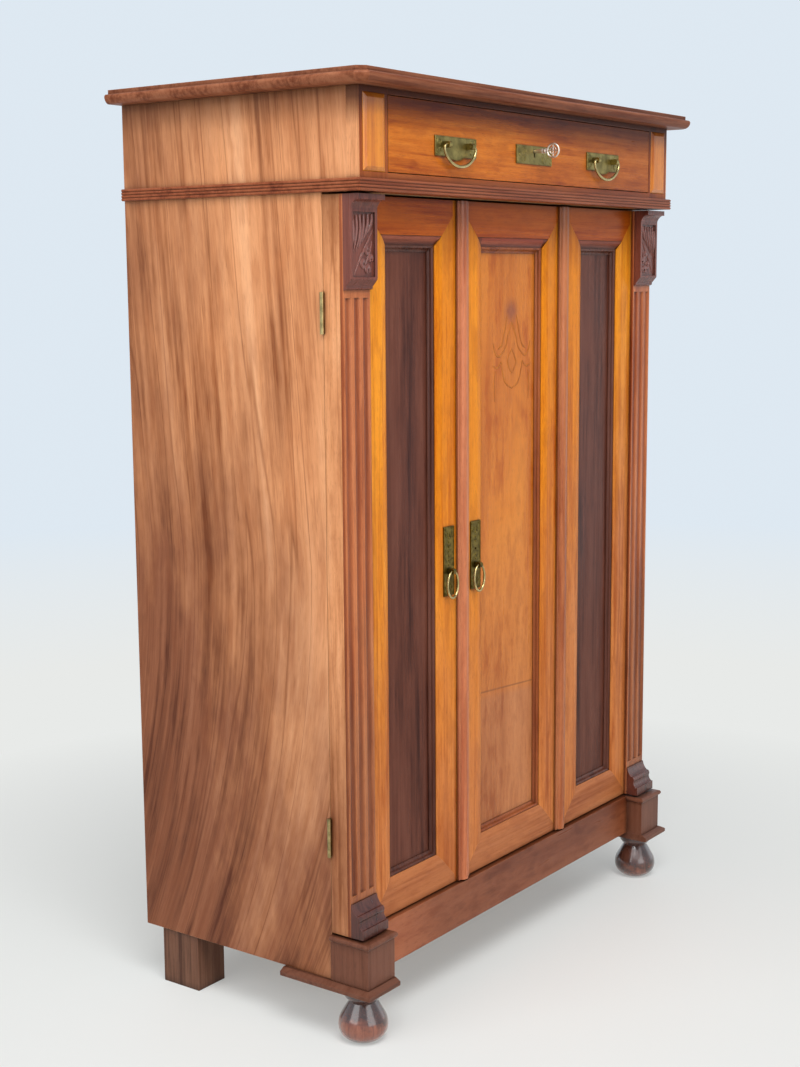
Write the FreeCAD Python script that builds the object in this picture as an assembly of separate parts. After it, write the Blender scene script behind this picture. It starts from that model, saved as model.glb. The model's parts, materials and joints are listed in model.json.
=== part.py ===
import FreeCAD, Part
import math
import os

from FreeCAD import Vector

# A parlour cabinet: one drawer in the frieze over two panelled doors between fluted pilasters.
# Millimetres. X runs to the right, Y to the back and Z up. While the pieces are made, X is 0 at the
# middle, Y is 0 at the frieze face and Z is 0 at the floor. save() moves the origin to the middle of
# the cabinet's box on the floor.

# Carcass
WIDTH = 912.0                # over the two side boards
DEPTH = 455.0                # frieze face to the back edges of the sides
BODY_TOP = 1400.0            # underside of the top board
SIDE_THICK = 20.0
BACK_THICK = 12.0
BACK_REBATE = 9.0            # how far the back boards reach into each side
BACK_BOARD_COUNT = 5
BOARD_GAP = 0.5
FLOOR_THICK = 20.0
FLOOR_STOP = 5.0             # how far the floor board stands up behind the doors
SHELF_COUNT = 2
SHELF_THICK = 18.0
SHELF_SETBACK = 20.0         # shelf edge behind the front edge of the side
SHELF_PLAY = 1.0
BATTEN_WIDTH = 16.0
BATTEN_HEIGHT = 22.0
BATTEN_MARGIN = 25.0         # batten end to shelf edge

# Top board
TOP_THICK = 21.0
TOP_OVERHANG = 36.0          # at the front and both sides
TOP_CANT = 15.0              # cut corner at the front
TOP_LIP_HEIGHT = 6.0
TOP_LIP_INSET = 8.0
TOP_NOSE_UNDERCUT = 7.0
TOP_NOSE_RISE = 1.9          # bow of the moulded nose
TOP_NOSE_SHARE = 0.7         # height of the nose's foremost line within the edge
TOP_NOSE_SHOULDER = 0.8      # fall of the nose below the ledge

# Frieze and waist
FRIEZE_HEIGHT = 125.0        # waist moulding to the top board
FRIEZE_THICK = 22.0
FRIEZE_STILE = 67.0
WAIST_HEIGHT = 18.0
WAIST_PROJECTION = 7.0
REED_COUNT = 4
REED_RISE = 1.8
DRAWER_SILL = 9.0            # plain rail between the waist moulding and the drawer
FRIEZE_TOP_RAIL = 8.5
FIELD_MARGIN = 8.5           # outer edge of the cabinet to the raised block
FIELD_WIDTH = 52.0
FIELD_BEVEL = 7.0
FIELD_RISE = 3.0

# Base
FOOT_HEIGHT = 80.0
FOOT_RADIUS = 38.0
FOOT_BELLY_HEIGHT = 24.0     # widest ring above the floor
FOOT_BELLY_RISE = 5.5        # swell between the sole and the widest ring
FOOT_SOLE_RADIUS = 19.0
FOOT_SHOULDER_RADIUS = 33.5
FOOT_SHOULDER_HEIGHT = 40.5
FOOT_SHOULDER_RISE = 1.15
FOOT_NECK_RADIUS = 21.5
FOOT_NECK_HEIGHT = 61.0
FOOT_COLLAR_RADIUS = 28.5
FOOT_COLLAR_HEIGHT = 10.0
FOOT_FROM_SIDE = 26.0        # foot axis behind the outer side face
FOOT_FROM_FRONT = 29.0
REAR_FOOT_WIDTH = 61.0
REAR_FOOT_DEPTH = 76.0
REAR_FOOT_INSET = 4.0
REAR_FOOT_FROM_BACK = 32.0
PLATE_THICK = 12.5
PLATE_PROJECTION = 10.5      # base plate beyond the corner block
PLATE_TAIL = 92.0            # base plate behind the corner block, under the side
PLATE_SLOPE = 5.0
PLATE_FLAT = 2.0             # level ledge beside the corner block
PLATE_NOSE = 2.5
BLOCK_WIDTH = 66.5
BLOCK_HEIGHT = 62.5
BLOCK_PROJECTION = 3.5       # block beyond the side and the frieze face
BEAD_HEIGHT = 9.0
BEAD_PROJECTION = 4.0
BOTTOM_RAIL_THICK = 22.0
BOTTOM_RAIL_PROUD = 8.0      # bottom rail in front of the door face

# Doors
DOOR_SETBACK = 36.0          # door face behind the frieze face
DOOR_THICK = 30.0
DOOR_BACK_GAP = 0.6          # door back to the front edge of the side
DOOR_TOP_GAP = 3.0
DOOR_BOTTOM_GAP = 3.0
DOOR_GAP = 1.5               # between the two doors
HINGE_STILE = 111.0
SIDE_PANEL = 125.0           # opening of each dark panel
MEETING_STILE = 51.0
PULL_STILE = 45.5            # flat between a door moulding and the centre panel
TOP_RAIL = 69.0
BOTTOM_RAIL = 58.0
MITRE_MARGIN = 6.0           # flat left outside the mitre of the meeting stile
PANEL_RECESS = 13.0
PANEL_THICK = 8.0
PANEL_TONGUE = 8.0           # panel edge in its groove
PANEL_PLAY = 0.3
EDGE_WIDTH = 15.0            # moulded inner edge of the door frames
EDGE_FALL = 3.5
EDGE_SWELL = 0.7
HEAD_QUIRK = 0.8             # step above the roll on the lower edge of a top rail
HEAD_ROLL = 7.0
HEAD_ROLL_FALL = 2.6         # door face to the foot of that roll
HEAD_ROLL_SWELL = 0.9
HEAD_FALL = 5.0
HEAD_COVE = 0.5
PANEL_MOULD_WIDTH = 9.0
PANEL_MOULD_DROP = 5.0       # moulding below the door face
PANEL_MOULD_FLAT = 0.6       # flat along its outer edge
PANEL_ROLL_FALL = 3.4        # crest to the foot of the roll
PANEL_ROLL_RISE = 0.9
PANEL_QUIRK = 0.8            # step between the roll and the cove
PANEL_COVE_RISE = 0.6
PANEL_MOULD_EDGE = 1.4       # thickness left at its inner edge
DOOR_MOULD_WIDTH = 30.0
DOOR_MOULD_BASE = 4.0
DOOR_MOULD_ROUND = 20.0
DOOR_MOULD_RISE = 6.0
JOINT_GROOVE_DEPTH = 3.0     # groove beside the mullion moulding

# Pilasters
PILASTER_WIDTH = 62.0
SHAFT_THICK = 6.0
FLUTE_COUNT = 3
FLUTE_WIDTH = 14.0
FLUTE_DEPTH = 2.6
FLUTE_BAND = 11.0            # plain band above and below the flutes
CAPITAL_HEIGHT = 133.0
CAPITAL_PROJECTION = 14.0    # capital face in front of the shaft
ABACUS_PROJECTION = 28.0
ABACUS_HEIGHT = 8.0
ABACUS_LIP = 4.0             # underside of the abacus left level
CAPITAL_COVE = 11.0
CAPITAL_COVE_RISE = 1.8
CAPITAL_SPLAY = 10.0         # sloped face above the foot
CAPITAL_FOOT = 5.0
CAPITAL_FOOT_RISE = 0.8
CAPITAL_FIELD_MARGIN = 5.5
CAPITAL_FIELD_DEPTH = 3.0
BASE_HEIGHT = 51.0
BASE_PROJECTION = 23.0       # plinth in front of the shaft
BASE_PLINTH = 15.0
BASE_PLINTH_EDGE = 2.5       # ledge on the plinth
BASE_HOLLOW = 11.0
BASE_BAND = 9.0              # swelling band between the hollow and the upper cove
BASE_BAND_SET = 8.0          # foot of the band behind the plinth face
BASE_BAND_LEAN = 2.0
BASE_QUIRK = 2.5
BASE_TOP_EDGE = 2.0          # ledge left in front of the shaft
BASE_ROUND = 1.8             # bow of the hollow, the band and the upper cove

# Butt hinges
HINGE_HEIGHT = 60.0
HINGE_FROM_BOTTOM = 148.5    # middle of the lower hinge above the door's lower end
HINGE_FROM_TOP = 165.0
KNUCKLE_RADIUS = 3.0
KNUCKLE_CLEAR = 0.4          # barrel to the outer face of the side
KNUCKLE_GAP = 0.3
PIN_RADIUS = 1.5
PIN_CLEAR = 0.05
LEAF_THICK = 1.6
LEAF_WIDTH = 17.0
LEAF_GAP = 0.1

# Door plates and rings
PLATE_METAL = 1.5            # thickness of every brass plate
DOOR_PLATE_WIDTH = 28.0
DOOR_PLATE_HEIGHT = 110.0
DOOR_PLATE_MIDDLE = 698.0    # above the floor
LEFT_PLATE_FROM_EDGE = 21.0  # plate middle from the left door's free edge
RING_PIVOT_UP = 39.0         # ring pivot above the plate's lower end
RING_STANDOFF = 7.5
RING_WIRE = 1.7
RING_HALF_HEIGHT = 21.3
RING_HALF_WIDTH = 14.3
RING_END_RADIUS = 10.5
BAR_FACETS = 6               # chords in each arc of a ring or a bail
BAR_FLATS = 8                # flats round the bar
RING_CLEAR = 0.3             # least gap between the ring and the eye of its post
LUG_RADIUS = 4.6             # round nose that carries a ring or a bail
LUG_LENGTH = 7.0
DOOR_LOCK_WIDTH = 64.0
DOOR_LOCK_HEIGHT = 56.0
DOOR_KEYHOLE = 2.2
DOOR_KEYHOLE_UP = 10.0       # keyhole above the middle of the plate

# Drawer
DRAWER_GAP = 1.2
DRAWER_BACK_GAP = 43.0       # drawer back to the back boards
DRAWER_FRONT_THICK = 20.0
DRAWER_SIDE_THICK = 12.0
DRAWER_BOTTOM_THICK = 8.0
DRAWER_BOTTOM_UP = 8.0
DRAWER_GROOVE = 6.0
DRAWER_SIDE_DROP = 8.0       # drawer sides below the top edge of the front
DRAWER_PLAY = 0.3
RUNNER_SHELF = 22.0          # runner under the drawer side
GUIDE_HEIGHT = 16.0

# Drawer pulls, lock and key
PULL_FROM_MIDDLE = 221.0
PULL_DROP = 9.0              # plates below the middle of the drawer front
PULL_WIDTH = 108.0
PULL_HEIGHT = 29.0
PULL_ARCH_WIDTH = 44.0
PULL_ARCH_RISE = 5.0
LUG_SPACING = 61.0
LUG_UP = 2.0                 # lugs above the middle of the plate
PULL_STANDOFF = 8.0
BAIL_WIRE = 2.0
BAIL_REACH = 42.0
BAIL_FOOT = 36.0
BAIL_DROP = 31.0
BAIL_BEND = 5.0
BAIL_CURVE = 28.0
ESCUTCHEON_WIDTH = 106.0
KEY_UP = 6.0                 # keyhole above the middle of the escutcheon
KEY_RADIUS = 3.0
KEY_CLEAR = 0.3
KEY_REACH = 36.0             # bow middle in front of the drawer face
KEY_BOW_RADIUS = 12.0
KEY_BOW_HOLE = 8.8
KEY_BOW_THICK = 3.2
KEY_BOW_CROSS = 2.2
KEY_BIT_REACH = 9.0
KEY_BIT_THICK = 2.6
KEY_BIT_LENGTH = 7.0
LOCK_WIDTH = 60.0
LOCK_DEPTH = 14.0
LOCK_WALL = 3.0
LOCK_BELOW_KEY = 18.0
BOLT_WIDTH = 18.0
BOLT_CLEAR = 0.2
BOLT_WALL = 1.0              # drawer front or rail to the channel of the bolt

# Levels and planes that follow from the sizes above
LEFT = -WIDTH / 2
INNER = WIDTH / 2 - SIDE_THICK
CARCASS_BOTTOM = FOOT_HEIGHT + PLATE_THICK
BEAD_TOP = CARCASS_BOTTOM + BLOCK_HEIGHT + BEAD_HEIGHT
WAIST_TOP = BODY_TOP - FRIEZE_HEIGHT
WAIST_BOTTOM = WAIST_TOP - WAIST_HEIGHT
DOOR_BACK = DOOR_SETBACK + DOOR_THICK
SIDE_FRONT = DOOR_BACK + DOOR_BACK_GAP
BACK_FACE = DEPTH - BACK_THICK
DOOR_BOTTOM = BEAD_TOP + DOOR_BOTTOM_GAP
DOOR_TOP = WAIST_BOTTOM - DOOR_TOP_GAP
FLOOR_TOP = DOOR_BOTTOM + FLOOR_STOP
OPENING_BOTTOM = DOOR_BOTTOM + BOTTOM_RAIL
OPENING_TOP = DOOR_TOP - TOP_RAIL
MITRE_RUN = MEETING_STILE - MITRE_MARGIN
PANEL_FACE = DOOR_SETBACK + PANEL_RECESS
SHAFT_FACE = DOOR_SETBACK - SHAFT_THICK
BLOCK_LEFT = LEFT - BLOCK_PROJECTION
BLOCK_RIGHT = BLOCK_LEFT + BLOCK_WIDTH
HINGE_X = LEFT - KNUCKLE_RADIUS - KNUCKLE_CLEAR
HINGE_Y = DOOR_BACK + DOOR_BACK_GAP / 2
HINGE_LEVELS = (DOOR_BOTTOM + HINGE_FROM_BOTTOM, DOOR_TOP - HINGE_FROM_TOP)

# Door layout from left to right
LEFT_PANEL_START = LEFT + HINGE_STILE
LEFT_PANEL_END = LEFT_PANEL_START + SIDE_PANEL
LEFT_DOOR_END = LEFT_PANEL_END + MEETING_STILE
RIGHT_DOOR_START = LEFT_DOOR_END + DOOR_GAP
CENTRE_START = RIGHT_DOOR_START + DOOR_MOULD_WIDTH + PULL_STILE
CENTRE_END = -CENTRE_START
RIGHT_PANEL_START = -LEFT_PANEL_END
RIGHT_PANEL_END = -LEFT_PANEL_START
LEFT_PLATE_X = LEFT_DOOR_END - LEFT_PLATE_FROM_EDGE
RIGHT_PLATE_X = CENTRE_START - PULL_STILE / 2
RING_SAG = RING_END_RADIUS - math.sqrt(RING_END_RADIUS ** 2 - LUG_LENGTH ** 2 / 4)
RING_EYE = RING_WIRE + RING_SAG / 2 + RING_CLEAR
RING_PIVOT_Y = DOOR_SETBACK - PLATE_METAL - RING_STANDOFF
RING_PIVOT_Z = DOOR_PLATE_MIDDLE - DOOR_PLATE_HEIGHT / 2 + RING_PIVOT_UP

# Drawer opening and lock
OPENING_HALF = WIDTH / 2 - FRIEZE_STILE
SILL_TOP = WAIST_TOP + DRAWER_SILL
DRAWER_HALF = OPENING_HALF - DRAWER_GAP
DRAWER_DEPTH = BACK_FACE - DRAWER_BACK_GAP
DRAWER_FRONT_BOTTOM = SILL_TOP + DRAWER_GAP
DRAWER_FRONT_TOP = BODY_TOP - FRIEZE_TOP_RAIL - DRAWER_GAP
DRAWER_SIDE_TOP = DRAWER_FRONT_TOP - DRAWER_SIDE_DROP
DRAWER_SIDE_BOTTOM = SILL_TOP + DRAWER_PLAY
BOTTOM_LEVEL = DRAWER_SIDE_BOTTOM + DRAWER_BOTTOM_UP
PULL_LEVEL = (DRAWER_FRONT_BOTTOM + DRAWER_FRONT_TOP) / 2 - PULL_DROP
PULL_PIVOT_Y = -PLATE_METAL - PULL_STANDOFF
PULL_PIVOT_Z = PULL_LEVEL + LUG_UP
KEY_LEVEL = PULL_LEVEL + KEY_UP
BOLT_FRONT = max(DRAWER_FRONT_THICK, FRIEZE_THICK) + BOLT_CLEAR + BOLT_WALL
BOLT_BACK = DRAWER_FRONT_THICK + LOCK_DEPTH - LOCK_WALL
BOLT_BOTTOM = KEY_LEVEL + KEY_BIT_REACH + LOCK_WALL

# Middle of the whole box, front to back: the key bow leads and the back edges end it
ORIGIN_Y = (DEPTH - KEY_REACH - KEY_BOW_RADIUS) / 2

X_AXIS = Vector(1, 0, 0)
Y_AXIS = Vector(0, 1, 0)
Z_AXIS = Vector(0, 0, 1)
MIDDLE = Vector(0, 0, 0)
OVERCUT = 1.0                # how far a cutting solid runs past the face it opens
TINY = 1e-6


def box(x0, x1, y0, y1, z0, z1):
    """Box between two limits on each axis."""
    return Part.makeBox(x1 - x0, y1 - y0, z1 - z0, Vector(x0, y0, z0))


def rod(start, end, radius):
    """Round rod from one point to another."""
    along = end - start
    return Part.makeCylinder(radius, along.Length, start, along)


def outline(axis, start, *steps):
    """Closed wire square to axis. A step is a point, or (point, rise) for an arc: swell +, hollow -."""
    edges = []
    here = start
    for step in steps:
        end, rise = step if isinstance(step, tuple) else (step, 0.0)
        if rise:
            across = (end - here).cross(axis).normalize()
            through = (here + end) * 0.5 + across * rise
            edges.append(Part.Arc(here, through, end).toShape())
        else:
            edges.append(Part.makeLine(here, end))
        here = end
    if here.distanceToPoint(start) > TINY:
        edges.append(Part.makeLine(here, start))
    return Part.Wire(edges)


def prism(along, start, *steps):
    """Solid made by pushing an outline along a vector."""
    return Part.Face(outline(along, start, *steps)).extrude(along)


def turned(axis_point, start, *steps):
    """Solid of revolution about a vertical axis through axis_point."""
    face = Part.Face(outline(-Y_AXIS, start, *steps))
    solid = face.revolve(MIDDLE, Z_AXIS, 360)
    return solid.translated(axis_point)


def mirrored(shape):
    """The same piece on the other side of the cabinet."""
    return shape.mirror(MIDDLE, X_AXIS)


def both_sides(shape):
    """A piece and its mirror image, as two solids of one group."""
    return Part.makeCompound([shape, mirrored(shape)])


def top_outline(inset):
    """Plan of the top board, a distance inside its edge, from the back left round to the back right."""
    overhang = TOP_OVERHANG - inset
    side = WIDTH / 2 + overhang
    cant = TOP_CANT - inset * (2 - math.sqrt(2))
    points = [(-side, DEPTH), (-side, cant - overhang), (cant - side, -overhang)]
    points += [(-x, y) for x, y in reversed(points)]
    return [Vector(x, y, BODY_TOP) for x, y in points]


def top_board():
    """Slab with a moulded edge swept round the front and both sides."""
    core_inset = TOP_LIP_INSET + TOP_NOSE_UNDERCUT
    side = -WIDTH / 2 - TOP_OVERHANG
    ledge = TOP_THICK - TOP_LIP_HEIGHT

    def edge(inset, height):
        return Vector(side + inset, DEPTH, BODY_TOP + height)

    nose = outline(Y_AXIS, edge(TOP_NOSE_UNDERCUT, 0),
                   (edge(0, ledge * TOP_NOSE_SHARE), TOP_NOSE_RISE),
                   (edge(TOP_LIP_INSET / 2, ledge - TOP_NOSE_SHOULDER), TOP_NOSE_RISE / 2),
                   edge(TOP_LIP_INSET, ledge), edge(TOP_LIP_INSET, TOP_THICK),
                   edge(core_inset, TOP_THICK), edge(core_inset, 0))
    path = Part.makePolygon(top_outline(0))
    rim = path.makePipeShell([nose], True, False, 1)
    core_points = top_outline(core_inset)
    core = Part.Face(Part.makePolygon(core_points + core_points[:1])).extrude(Z_AXIS * TOP_THICK)
    return rim.fuse(core).removeSplitter()


def hinge_pocket(level, y0, y1):
    """Shallow seat for one hinge leaf."""
    half = HINGE_HEIGHT / 2
    return box(LEFT - OVERCUT, LEFT + LEAF_WIDTH, y0, y1, level - half, level + half)


def left_side():
    """Side board: full depth in the frieze, cut back behind the door below it."""
    board = prism(X_AXIS * SIDE_THICK, Vector(LEFT, SIDE_FRONT, CARCASS_BOTTOM),
                  Vector(LEFT, DEPTH, CARCASS_BOTTOM), Vector(LEFT, DEPTH, BODY_TOP),
                  Vector(LEFT, FRIEZE_THICK, BODY_TOP), Vector(LEFT, FRIEZE_THICK, WAIST_BOTTOM),
                  Vector(LEFT, SIDE_FRONT, WAIST_BOTTOM))
    rebate = box(-INNER - BACK_REBATE, -INNER + OVERCUT, BACK_FACE, DEPTH + OVERCUT,
                 CARCASS_BOTTOM - OVERCUT, BODY_TOP + OVERCUT)
    leaf_end = HINGE_Y + LEAF_GAP / 2 + LEAF_THICK
    pockets = [hinge_pocket(level, SIDE_FRONT - OVERCUT, leaf_end) for level in HINGE_LEVELS]
    return board.cut([rebate] + pockets)


def back_boards():
    """Upright boards that close the back, seated in the rebates of the sides."""
    span = 2 * (INNER + BACK_REBATE)
    pitch = span / BACK_BOARD_COUNT
    boards = []
    for index in range(BACK_BOARD_COUNT):
        start = -span / 2 + index * pitch
        last = index == BACK_BOARD_COUNT - 1
        end = start + pitch - (0.0 if last else BOARD_GAP)
        boards.append(box(start, end, BACK_FACE, DEPTH, CARCASS_BOTTOM, BODY_TOP))
    return Part.makeCompound(boards)


def floor_board():
    return box(-INNER, INNER, SIDE_FRONT, BACK_FACE, FLOOR_TOP - FLOOR_THICK, FLOOR_TOP)


def shelf_levels():
    """Undersides of the shelves, evenly spaced between the floor and the drawer divider."""
    step = (WAIST_BOTTOM - FLOOR_TOP) / (SHELF_COUNT + 1)
    return [FLOOR_TOP + step * (index + 1) - SHELF_THICK / 2 for index in range(SHELF_COUNT)]


def shelves():
    front = SIDE_FRONT + SHELF_SETBACK
    return Part.makeCompound([
        box(SHELF_PLAY - INNER, INNER - SHELF_PLAY, front, BACK_FACE - SHELF_PLAY, level, level + SHELF_THICK)
        for level in shelf_levels()])


def shelf_battens():
    """Strips on the sides that carry the shelves."""
    front = SIDE_FRONT + SHELF_SETBACK + BATTEN_MARGIN
    back = BACK_FACE - BATTEN_MARGIN
    strips = [box(-INNER, BATTEN_WIDTH - INNER, front, back, level - BATTEN_HEIGHT, level)
              for level in shelf_levels()]
    return Part.makeCompound(strips + [mirrored(strip) for strip in strips])


def drawer_divider():
    """Board under the drawer that closes the cupboard."""
    return box(-INNER, INNER, FRIEZE_THICK, BACK_FACE, WAIST_BOTTOM, WAIST_TOP)


def frieze_rails():
    """Sill below the drawer and the thin rail above it."""
    sill = box(-OPENING_HALF, OPENING_HALF, 0, FRIEZE_THICK, WAIST_BOTTOM, SILL_TOP)
    head = box(-OPENING_HALF, OPENING_HALF, 0, FRIEZE_THICK, BODY_TOP - FRIEZE_TOP_RAIL, BODY_TOP)
    return Part.makeCompound([sill, head])


def frieze_stiles():
    return both_sides(box(LEFT, -OPENING_HALF, 0, FRIEZE_THICK, WAIST_BOTTOM, BODY_TOP))


def frieze_blocks():
    """Raised blocks with a bevel all round, one on each frieze stile."""
    start = LEFT + FIELD_MARGIN

    def rectangle(inset, y):
        x0, x1 = start + inset, start + FIELD_WIDTH - inset
        z0, z1 = SILL_TOP + inset, BODY_TOP - FRIEZE_TOP_RAIL - inset
        return outline(Y_AXIS, Vector(x0, y, z0), Vector(x1, y, z0), Vector(x1, y, z1), Vector(x0, y, z1))

    return both_sides(Part.makeLoft([rectangle(0, 0), rectangle(FIELD_BEVEL, -FIELD_RISE)], True, True))


def reeds(place):
    """Outline steps of the reeded face; place(out, up) gives the point."""
    flat = WAIST_PROJECTION - REED_RISE
    pitch = WAIST_HEIGHT / REED_COUNT
    steps = [place(flat, WAIST_BOTTOM)]
    steps += [(place(flat, WAIST_BOTTOM + pitch * (index + 1)), REED_RISE) for index in range(REED_COUNT)]
    return steps + [place(0, WAIST_TOP)]


def waist_moulding():
    """Reeded moulding along the front and both sides, mitred at the front corners."""
    out = WAIST_PROJECTION
    half = WIDTH / 2 + out
    front = prism(X_AXIS * (-2 * half), Vector(half, 0, WAIST_BOTTOM),
                  *reeds(lambda reach, up: Vector(half, -reach, up)))
    side = prism(Y_AXIS * (DEPTH + out), Vector(LEFT, -out, WAIST_BOTTOM),
                 *reeds(lambda reach, up: Vector(LEFT - reach, -out, up)))
    rise = Z_AXIS * WAIST_HEIGHT
    corner = Vector(LEFT - out, -out, WAIST_BOTTOM)
    inside = Vector(LEFT, 0, WAIST_BOTTOM)
    outer_wedge = prism(rise, corner, Vector(LEFT - out, 0, WAIST_BOTTOM), inside)
    front_wedge = prism(rise, corner, Vector(LEFT, -out, WAIST_BOTTOM), inside)
    side = side.cut(front_wedge)
    front = front.cut([outer_wedge, mirrored(outer_wedge)])
    return Part.makeCompound([front, side, mirrored(side)])


def drawer_runners():
    """L-shaped strips that carry and guide the drawer sides."""
    shelf_edge = DRAWER_HALF - RUNNER_SHELF
    guide_edge = DRAWER_HALF + DRAWER_PLAY
    back = BACK_FACE - FRIEZE_THICK
    runner = prism(Y_AXIS * back, Vector(-INNER, FRIEZE_THICK, WAIST_TOP),
                   Vector(-shelf_edge, FRIEZE_THICK, WAIST_TOP), Vector(-shelf_edge, FRIEZE_THICK, SILL_TOP),
                   Vector(-guide_edge, FRIEZE_THICK, SILL_TOP),
                   Vector(-guide_edge, FRIEZE_THICK, SILL_TOP + GUIDE_HEIGHT),
                   Vector(-INNER, FRIEZE_THICK, SILL_TOP + GUIDE_HEIGHT))
    return both_sides(runner)


def bottom_rail():
    face = DOOR_SETBACK - BOTTOM_RAIL_PROUD
    return box(BLOCK_RIGHT, -BLOCK_RIGHT, face, face + BOTTOM_RAIL_THICK, CARCASS_BOTTOM, BEAD_TOP)


def corner_blocks():
    """Plinth block with a half-round bead on its three open sides."""
    core = box(BLOCK_LEFT, BLOCK_RIGHT, -BLOCK_PROJECTION, SIDE_FRONT, CARCASS_BOTTOM, BEAD_TOP)
    bead_bottom = BEAD_TOP - BEAD_HEIGHT
    rail_face = DOOR_SETBACK - BOTTOM_RAIL_PROUD
    front_left = Vector(BLOCK_LEFT, -BLOCK_PROJECTION, bead_bottom)
    front_right = Vector(BLOCK_RIGHT, -BLOCK_PROJECTION, bead_bottom)
    path = Part.makePolygon([Vector(BLOCK_LEFT, SIDE_FRONT, bead_bottom), front_left, front_right,
                             Vector(BLOCK_RIGHT, rail_face, bead_bottom)])
    start = Vector(BLOCK_LEFT, SIDE_FRONT, bead_bottom)
    section = outline(Y_AXIS, start, (start + Z_AXIS * BEAD_HEIGHT, BEAD_PROJECTION))
    bead = path.makePipeShell([section], True, False, 1)
    return both_sides(core.fuse(bead).removeSplitter())


def base_plates():
    """Moulded plate under each corner block, running back under the side."""
    left = BLOCK_LEFT - PLATE_PROJECTION
    front = -BLOCK_PROJECTION - PLATE_PROJECTION
    back = SIDE_FRONT + PLATE_TAIL
    plate = box(left, BLOCK_RIGHT, front, back, FOOT_HEIGHT, CARCASS_BOTTOM)

    def outer_edges(level):
        found = []
        for edge in plate.Edges:
            limits = edge.BoundBox
            flat = abs(limits.ZMin - level) < TINY and abs(limits.ZMax - level) < TINY
            at_front = limits.YMax - front < TINY
            at_side = limits.XMax - left < TINY
            if flat and (at_front or at_side):
                found.append(edge)
        return found

    plate = plate.makeChamfer(PLATE_SLOPE, PLATE_PROJECTION - PLATE_FLAT, outer_edges(CARCASS_BOTTOM))
    return both_sides(plate.makeFillet(PLATE_NOSE, outer_edges(FOOT_HEIGHT)))


def front_feet():
    """Turned pear feet with a sharp neck and a flared collar."""
    centre = Vector(LEFT + FOOT_FROM_SIDE, FOOT_FROM_FRONT, 0)
    collar = FOOT_HEIGHT - FOOT_COLLAR_HEIGHT

    def point(radius, height):
        return Vector(radius, 0, height)

    foot = turned(centre, point(0, 0), point(FOOT_SOLE_RADIUS, 0),
                  (point(FOOT_RADIUS, FOOT_BELLY_HEIGHT), FOOT_BELLY_RISE),
                  (point(FOOT_SHOULDER_RADIUS, FOOT_SHOULDER_HEIGHT), FOOT_SHOULDER_RISE),
                  point(FOOT_NECK_RADIUS, FOOT_NECK_HEIGHT), point(FOOT_COLLAR_RADIUS, collar),
                  point(FOOT_COLLAR_RADIUS, FOOT_HEIGHT), point(0, FOOT_HEIGHT))
    return both_sides(foot)


def rear_feet():
    start = LEFT + REAR_FOOT_INSET
    back = DEPTH - REAR_FOOT_FROM_BACK
    return both_sides(box(start, start + REAR_FOOT_WIDTH, back - REAR_FOOT_DEPTH, back, 0, CARCASS_BOTTOM))


def hinge_rod(z0, z1, radius):
    """Round length on the hinge axis of the left door."""
    return rod(Vector(HINGE_X, HINGE_Y, z0), Vector(HINGE_X, HINGE_Y, z1), radius)


def hinge_leaf(level, inward, barrels):
    """Leaf on the back (inward 1) or front (inward -1) of the joint, with its barrels."""
    near = HINGE_Y + inward * LEAF_GAP / 2
    far = near + inward * LEAF_THICK
    y0, y1 = min(near, far), max(near, far)
    half = HINGE_HEIGHT / 2
    leaf = box(LEFT, LEFT + LEAF_WIDTH, y0, y1, level - half, level + half)
    for z0, z1 in barrels:
        web = box(HINGE_X, LEFT, y0, y1, z0, z1)
        leaf = leaf.fuse([hinge_rod(z0, z1, KNUCKLE_RADIUS), web])
    return leaf.removeSplitter()


def barrel_spans(level):
    """Lower and upper barrels of the carcass leaf, then the middle barrel of the door leaf."""
    half = HINGE_HEIGHT / 2
    third = HINGE_HEIGHT / 3
    low, high = level - half + KNUCKLE_GAP, level + half - KNUCKLE_GAP
    outer = [(low, level - half + third), (level + half - third, high)]
    inner = [(level - half + third + KNUCKLE_GAP, level + half - third - KNUCKLE_GAP)]
    return outer, inner


def carcass_hinges():
    """Fixed hinge leaves, two on each side, each with the pin riveted between its two barrels."""
    leaves = []
    for level in HINGE_LEVELS:
        outer = barrel_spans(level)[0]
        leaf = hinge_leaf(level, 1, outer)
        pin = hinge_rod(outer[0][1], outer[1][0], PIN_RADIUS)
        leaves.append(leaf.fuse(pin).removeSplitter())
    return Part.makeCompound(leaves + [mirrored(leaf) for leaf in leaves])


def door_hinge_leaves():
    """Moving hinge leaves of the left door, bored for the pins."""
    leaves = []
    for level in HINGE_LEVELS:
        inner = barrel_spans(level)[1]
        bore = hinge_rod(inner[0][0], inner[0][1], PIN_RADIUS + PIN_CLEAR)
        leaves.append(hinge_leaf(level, -1, inner).cut(bore))
    return Part.makeCompound(leaves)


def in_door(x, z):
    """Point on the door face."""
    return Vector(x, DOOR_SETBACK, z)


def mitred_edge(inner, mitre):
    """Edge of an upright from the bottom to the top: mitred beyond the opening, then straight."""
    return [in_door(mitre, DOOR_BOTTOM), in_door(mitre, OPENING_BOTTOM - MITRE_RUN),
            in_door(inner, OPENING_BOTTOM), in_door(inner, OPENING_TOP),
            in_door(mitre, OPENING_TOP + MITRE_RUN), in_door(mitre, DOOR_TOP)]


def upright_edge(inner, mitre):
    """Room in front of the moulded edge of an upright."""
    way = math.copysign(1.0, mitre - inner)

    def point(out, depth):
        return Vector(inner + way * out, DOOR_SETBACK + depth, DOOR_BOTTOM)

    return prism(Z_AXIS * (DOOR_TOP - DOOR_BOTTOM), point(EDGE_WIDTH, 0),
                 (point(0, EDGE_FALL), -way * EDGE_SWELL), point(-OVERCUT, EDGE_FALL),
                 point(-OVERCUT, -OVERCUT), point(EDGE_WIDTH, -OVERCUT))


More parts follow.
